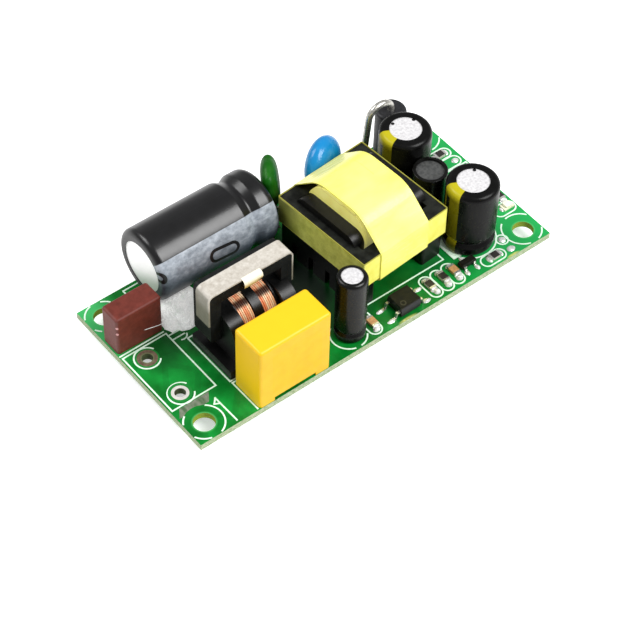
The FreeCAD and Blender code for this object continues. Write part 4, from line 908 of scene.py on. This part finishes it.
def makeBoardPrint(look, lines, rings, capsules):
    made = []
    level = boardTop + look["thick"]
    strip = start("plane", size=mm)
    pickAll()
    bpy.ops.mesh.extrude_region_move(TRANSFORM_OT_translate={"value": (0, 0, look["thick"] * mm)})
    out()
    for (ax, ay), (bx, by) in lines:
        length = math.hypot(bx - ax, by - ay) + look["width"]
        turn = math.degrees(math.atan2(by - ay, bx - ax))
        place = ((ax + bx) / 2, (ay + by) / 2, level - look["thick"] + len(made) * look["step"])
        made.append(another(strip, place, (0, 0, turn), (length, look["width"], 1)))
    place = (*look["area"], level - look["thick"] + len(made) * look["step"])
    area = another(strip, place, (0, 0, 0), (*look["areaSize"], 1))
    pick(area, "FACE", lambda p: p.z > place[2] + look["thick"] / 4)
    bpy.ops.mesh.inset(thickness=look["areaInset"] * mm)
    out()
    made.append(area)
    bpy.data.objects.remove(strip)

    def loop(x, y, radius):
        inner = radius - look["width"] / 2
        ring = start("circle", vertices=96, radius=inner * mm,
                     location=(x, y, level + len(made) * look["step"]))
        pickAll()
        bpy.ops.mesh.extrude_edges_move()
        grow = (radius + look["width"] / 2) / inner
        bpy.ops.transform.resize(value=(grow, grow, 1), center_override=ring.location)
        out()
        return ring

    def finishRing(ring):
        modify(ring, "SOLIDIFY", thickness=look["thick"] * mm, offset=-1.0)
        faceOut()
        bake(ring)
        made.append(ring)

    for x, y, radius, arcs in rings:
        ring = loop(x, y, radius)

        def outside(point):
            turn = math.degrees(math.atan2(point.y, point.x))
            return not any(low <= turn + lap <= high for low, high in arcs for lap in (-360, 0, 360))

        pick(ring, "FACE", outside)
        bpy.ops.mesh.delete(type="FACE")
        out()
        finishRing(ring)
    for x, y, radius, half, turn in capsules:
        ring = loop(x, y, radius)
        for side in (-1, 1):
            pick(ring, "VERT", lambda p: p.x * side > 0.01)
            move(side * half, 0, 0)
            out()
        ring.rotation_euler.z = math.radians(turn)
        finishRing(ring)
    settle(gather(made), "boardPrint", "printWhite", "board_green", angle=0)


makeBoardPrint(printLook, printLines, printRings, printCapsules)
print("board print made")

# Solder: one flattened dome, copied to chip ends and feet

chipSpots = {"top": ((12.27, -12.92, 90, 0), (15.0, -12.98, 90, 0), (24.5, -14.56, 0, 0), (32.1, 7.85, 0, 0),
                     (33.75, -5.1, 90, 0), (0.2, -13.3, 90, 0), (17.3, -12.91, 90, 0)),
             "under": ((-9, 9, 0, 1), (-9, 12, 0, 1), (4.5, 11, 90, 1), (12.5, -6.5, 0, 1),
                       (18.5, 0.5, 90, 1), (-2, -1.5, 0, 0), (17, 5, 0, 0), (27.5, 0, 90, 0))}
chipSizes = ((2.0, 1.25, 0.55), (3.2, 1.6, 0.6))  # small, large
lumpLook = {"waist": 0.12, "waistShare": 0.86, "cap": 0.38, "capShift": 0.05, "endGap": 0.14, "long": 0.95,
            "widthShare": 1.12, "heightShare": 1.5, "uneven": 0.08}
solderLumps = (
    (2.57, -12.38, 1.5, 0.72, 0.34), (2.73, -14.99, 1.5, 0.72, 0.34), (10.17, -12.49, 1.5, 0.72, 0.34),
    (9.9, -15.1, 1.5, 0.72, 0.34), (18.75, -14.6, 0.8, 1.1, 0.35), (20.85, -14.6, 0.8, 1.1, 0.35),
    (19.85, -11.8, 0.8, 1.0, 0.35), (12.4, -14.62, 1.25, 1.15, 0.62), (14.8, -14.62, 1.25, 1.15, 0.62),
    (17.1, -14.6, 1.25, 1.15, 0.62), (-0.1, -14.9, 1.35, 0.8, 0.5), (33.4, 5.45, 1.3, 1.1, 0.35),
    (27.8, -12.6, 1.3, 1.3, 0.3), (27.7, -14.9, 1.5, 1.2, 0.3), (32.1, -7.6, 0.6, 1.0, 0.3))


def makeSolderLumps(look, spots, sizes, lumps):
    dome = start("uv_sphere", segments=24, ring_count=16, radius=0.5 * mm)
    pickAll()
    bpy.ops.mesh.bisect(plane_co=(0, 0, 0), plane_no=(0, 0, 1), clear_inner=True, use_fill=True)
    out()
    pick(dome, "VERT", lambda p: p.z > look["waist"])
    stretch(look["waistShare"], look["waistShare"], 1)
    out()
    pick(dome, "VERT", lambda p: p.z > look["cap"])
    move(look["capShift"], 0, -look["capShift"])
    out()
    made = []
    for side, chips in spots.items():
        for x, y, turn, size in chips:
            length, width, height = sizes[size]
            across = math.radians(turn)
            far = length / 2 + look["endGap"]
            level, flip = (boardTop, 0) if side == "top" else (0.0, 180)
            for end in (-1, 1):
                place = (x + end * far * math.cos(across), y + end * far * math.sin(across), level)
                wobble = 1 + look["uneven"] * math.sin(7.0 * x + 3.0 * end)
                tall = height * look["heightShare"]
                made.append(another(dome, place, (flip, 0, turn), (
                    look["long"] * wobble, width * look["widthShare"], tall * wobble)))
    for x, y, wide, deep, tall in lumps:
        made.append(another(dome, (x, y, boardTop), (0, 0, 0), (wide, deep, tall * 2)))
    bpy.data.objects.remove(dome)
    settle(gather(made), "solderLumps", "solder", "solder", "chip_solder")


makeSolderLumps(lumpLook, chipSpots, chipSizes, solderLumps)
print("solder lumps made")

# Choke coils: a helix of wire over a plain under layer with a bore for the core

coilLook = {"turns": 7, "steps": 72, "wireShare": 0.44, "sides": 10, "bore": 3.05, "endPlay": 0.1}


def makeCoil(name, node, look):
    low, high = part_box(node)
    low, high = low / mm, high / mm
    pitch = (high.x - low.x) / (look["turns"] + 0.15)
    wire = pitch * look["wireShare"]
    radius = (high.y - low.y) / 2 - wire
    middle = (low + high) / 2
    made = start("circle", vertices=look["sides"], radius=wire * mm, rotation=(math.pi / 2, 0, 0))
    bake(made)
    pickAll()
    move(0, 0, radius)
    out()
    modify(made, "SCREW", axis="X", angle=2 * math.pi, screw_offset=pitch * mm, iterations=look["turns"],
           steps=look["steps"], render_steps=look["steps"])
    faceOut()
    made.location = ((low.x + wire) * mm, middle.y * mm, middle.z * mm)
    bake(made)
    depth = high.x - low.x - look["endPlay"]
    under = start("cylinder", vertices=look["steps"], radius=radius * mm, depth=depth * mm,
                  end_fill_type="NGON", rotation=(0, math.pi / 2, 0), location=middle)
    bake(under)
    pick(under, "FACE", lambda p: abs(p.x - middle.x) > 0.5)
    bpy.ops.mesh.inset(thickness=(radius - look["bore"]) * mm)
    bpy.ops.mesh.bridge_edge_loops()
    out()
    settle(gather([made, under]), name, "copperWire", "copper", node)


makeCoil("chokeCoilLeft", "choke_winding_left", coilLook)
makeCoil("chokeCoilRight", "choke_winding_right", coilLook)
print("choke coils made")

# Tape tab over the joint of the choke's cores, curling away from the front

tabLook = {"width": 3.56, "thick": 0.11, "looseBelow": 15.0, "looseBeyond": 0.9, "lift": (0.08, 0.18),
           "points": ((-3.9, 15.84), (-4.15, 15.87), (-4.4, 15.84), (-4.62, 15.72), (-4.8, 15.5),
                      (-4.9, 15.22), (-4.93, 14.9), (-4.88, 14.58), (-4.78, 14.32))}


def makeTab(look):
    low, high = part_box("choke_joint_tape")
    middle = (low.x + high.x) / 2 / mm
    points = look["points"]
    made = start("plane", size=look["width"] * mm, location=(middle, 0, 0))
    bake(made)
    pick(made, "VERT", lambda p: p.y > 0)
    bpy.ops.mesh.delete(type="VERT")
    bpy.ops.mesh.select_all(action="SELECT")
    move(0, points[0][0] + look["width"] / 2, points[0][1])
    for first, second in zip(points, points[1:]):
        shift = (0, (second[0] - first[0]) * mm, (second[1] - first[1]) * mm)
        bpy.ops.mesh.extrude_edges_move(TRANSFORM_OT_translate={"value": shift})
    bpy.ops.mesh.select_all(action="SELECT")
    bpy.ops.mesh.subdivide(number_cuts=5)
    out()
    pick(made, "VERT", lambda p: p.z < look["looseBelow"] and p.x - middle > look["looseBeyond"])
    move(0, *look["lift"])
    out()
    modify(made, "SOLIDIFY", thickness=look["thick"] * mm, offset=0.0)
    modify(made, "SUBSURF", levels=1)
    faceOut()
    settle(made, "chokeTab", "creamTape", "cream_tape", "choke_joint_tape")


makeTab(tabLook)
print("choke tab made")

# Dipped capacitors: pillow with skirts down its leads, melted into one skin

dipShape = {"faceInset": 0.28, "rimShare": 0.42, "crownInset": 0.3, "legRadii": (0.42, 0.95), "legLean": 0.25}
discLook = {"name": "discCapacitor", "finish": "blueEpoxy", "slot": "blue_epoxy", "node": "y_cap_body",
            "size": (4.85, 4.85, 3.6), "centre": (11.0, 12.8, 8.45), "lean": 82, "turn": 26, "square": 0.0,
            "legs": 2.5, "legSetback": 0.0, "foot": 2.9, "legReach": 2.6, "voxel": 0.15}
filmLook = {"name": "filmCapacitor", "finish": "greenEpoxy", "slot": "green_epoxy", "node": "film_cap_body",
            "size": (3.9, 4.0, 2.7), "centre": (0.95, 13.6, 10.2), "lean": 82, "turn": 54, "square": 0.1,
            "legs": 1.9, "legSetback": -0.5, "foot": 5.8, "legReach": 2.2, "voxel": 0.13}


def makeDipped(look, shape):
    wide, tall, deep = look["size"]
    body = start("cylinder", vertices=40, radius=mm, depth=deep * mm)
    pick(body, "FACE", lambda p: abs(p.z) > deep * 0.4)
    bpy.ops.mesh.inset(thickness=shape["faceInset"] * mm)
    out()
    pick(body, "VERT", lambda p: math.hypot(p.x, p.y) > 0.9)
    stretch(1, 1, shape["rimShare"])
    out()
    pick(body, "FACE", lambda p: abs(p.z) > deep * 0.4)
    bpy.ops.mesh.inset(thickness=shape["crownInset"] * mm)
    out()
    pick(body, "VERT", lambda p: abs(p.x) > 0.5 and abs(p.y) > 0.5)
    stretch(1 + look["square"], 1 + look["square"], 1)
    bpy.ops.mesh.select_all(action="SELECT")
    stretch(wide, tall, 1)
    out()
    modify(body, "SUBSURF", levels=1)
    body.rotation_euler = (math.radians(look["lean"]), 0, 0)
    body.location = [v * mm for v in look["centre"]]
    bake(body)
    cx, cy = look["centre"][:2]
    thin, thick = shape["legRadii"]
    parts = [body]
    for side in (-1, 1):
        leg = start("cone", vertices=20, radius1=thin * mm, radius2=thick * mm, depth=look["legReach"] * mm,
                    location=(cx + side * look["legs"], cy + look["legSetback"],
                              look["foot"] + look["legReach"] / 2))
        pick(leg, "VERT", lambda p: p.z > 0)
        move(-side * shape["legLean"], -look["legSetback"] / 2, 0)
        out()
        bake(leg)
        parts.append(leg)
    whole = gather(parts)
    modify(whole, "REMESH", mode="VOXEL", voxel_size=look["voxel"] * mm)
    modify(whole, "SMOOTH", factor=0.6, iterations=8)
    pickAll()
    bpy.ops.transform.rotate(value=-math.radians(look["turn"]), orient_axis="Z",
                             center_override=(cx * mm, cy * mm, 0))
    out()
    settle(whole, look["name"], look["finish"], look["slot"], look["node"], angle=80)


makeDipped(discLook, dipShape)
makeDipped(filmLook, dipShape)
print("dipped capacitors made")

# Silicone: squashed lumps melted together between fuse, choke and lying capacitor, with thin strings

siliconeLook = {"voxel": 0.14, "stringRadius": 0.045, "lumps": (
    (-21.9, 9.2, 1.3, 4.0, 3.6, 1.9), (-24.3, 8.8, 1.3, 1.9, 3.9, 1.7), (-24.9, 7.4, 1.3, 1.3, 3.2, 1.5),
    (-25.0, 5.7, 1.2, 1.15, 1.9, 1.1), (-19.7, 7.4, 1.3, 2.0, 4.2, 1.7), (-22.7, 4.9, 1.2, 2.2, 2.2, 1.1),
    (-19.6, 4.0, 1.2, 1.9, 1.3, 0.8), (-21.4, 3.8, 1.2, 2.4, 1.1, 0.6), (-24.25, 5.4, 1.3, 0.35, 2.3, 1.9),
    (-25.65, 4.7, 1.2, 0.7, 0.85, 0.5), (-24.75, 3.3, 1.2, 0.9, 1.5, 0.55)),
    "strings": (
        ((-25.6, 5.2, 2.9), (-26.3, 5.27, 2.75), (-27.4, 5.26, 2.9), (-28.6, 5.27, 3.35), (-29.7, 5.3, 3.6)),
        ((-25.7, 5.3, 3.6), (-26.2, 5.28, 3.5), (-26.6, 5.3, 3.7)))}


def makeSilicone(look):
    lumps = []
    for x, y, z, wide, deep, tall in look["lumps"]:
        lump = start("uv_sphere", segments=28, ring_count=18, radius=mm)
        pickAll()
        stretch(wide, deep, tall)
        bpy.ops.mesh.bisect(plane_co=(0, 0, 0), plane_no=(0, 0, 1), clear_inner=True, use_fill=True)
        out()
        lump.location = [v * mm for v in (x, y, z)]
        bake(lump)
        lumps.append(lump)
    whole = gather(lumps)
    modify(whole, "REMESH", mode="VOXEL", voxel_size=look["voxel"] * mm)
    modify(whole, "SMOOTH", factor=0.5, iterations=6)
    strings = [thread(points, look["stringRadius"]) for points in look["strings"]]
    settle(gather([whole] + strings), "siliconeBead", "silicone", "silicone", "silicone_bead", angle=80)


makeSilicone(siliconeLook)
print("silicone made")
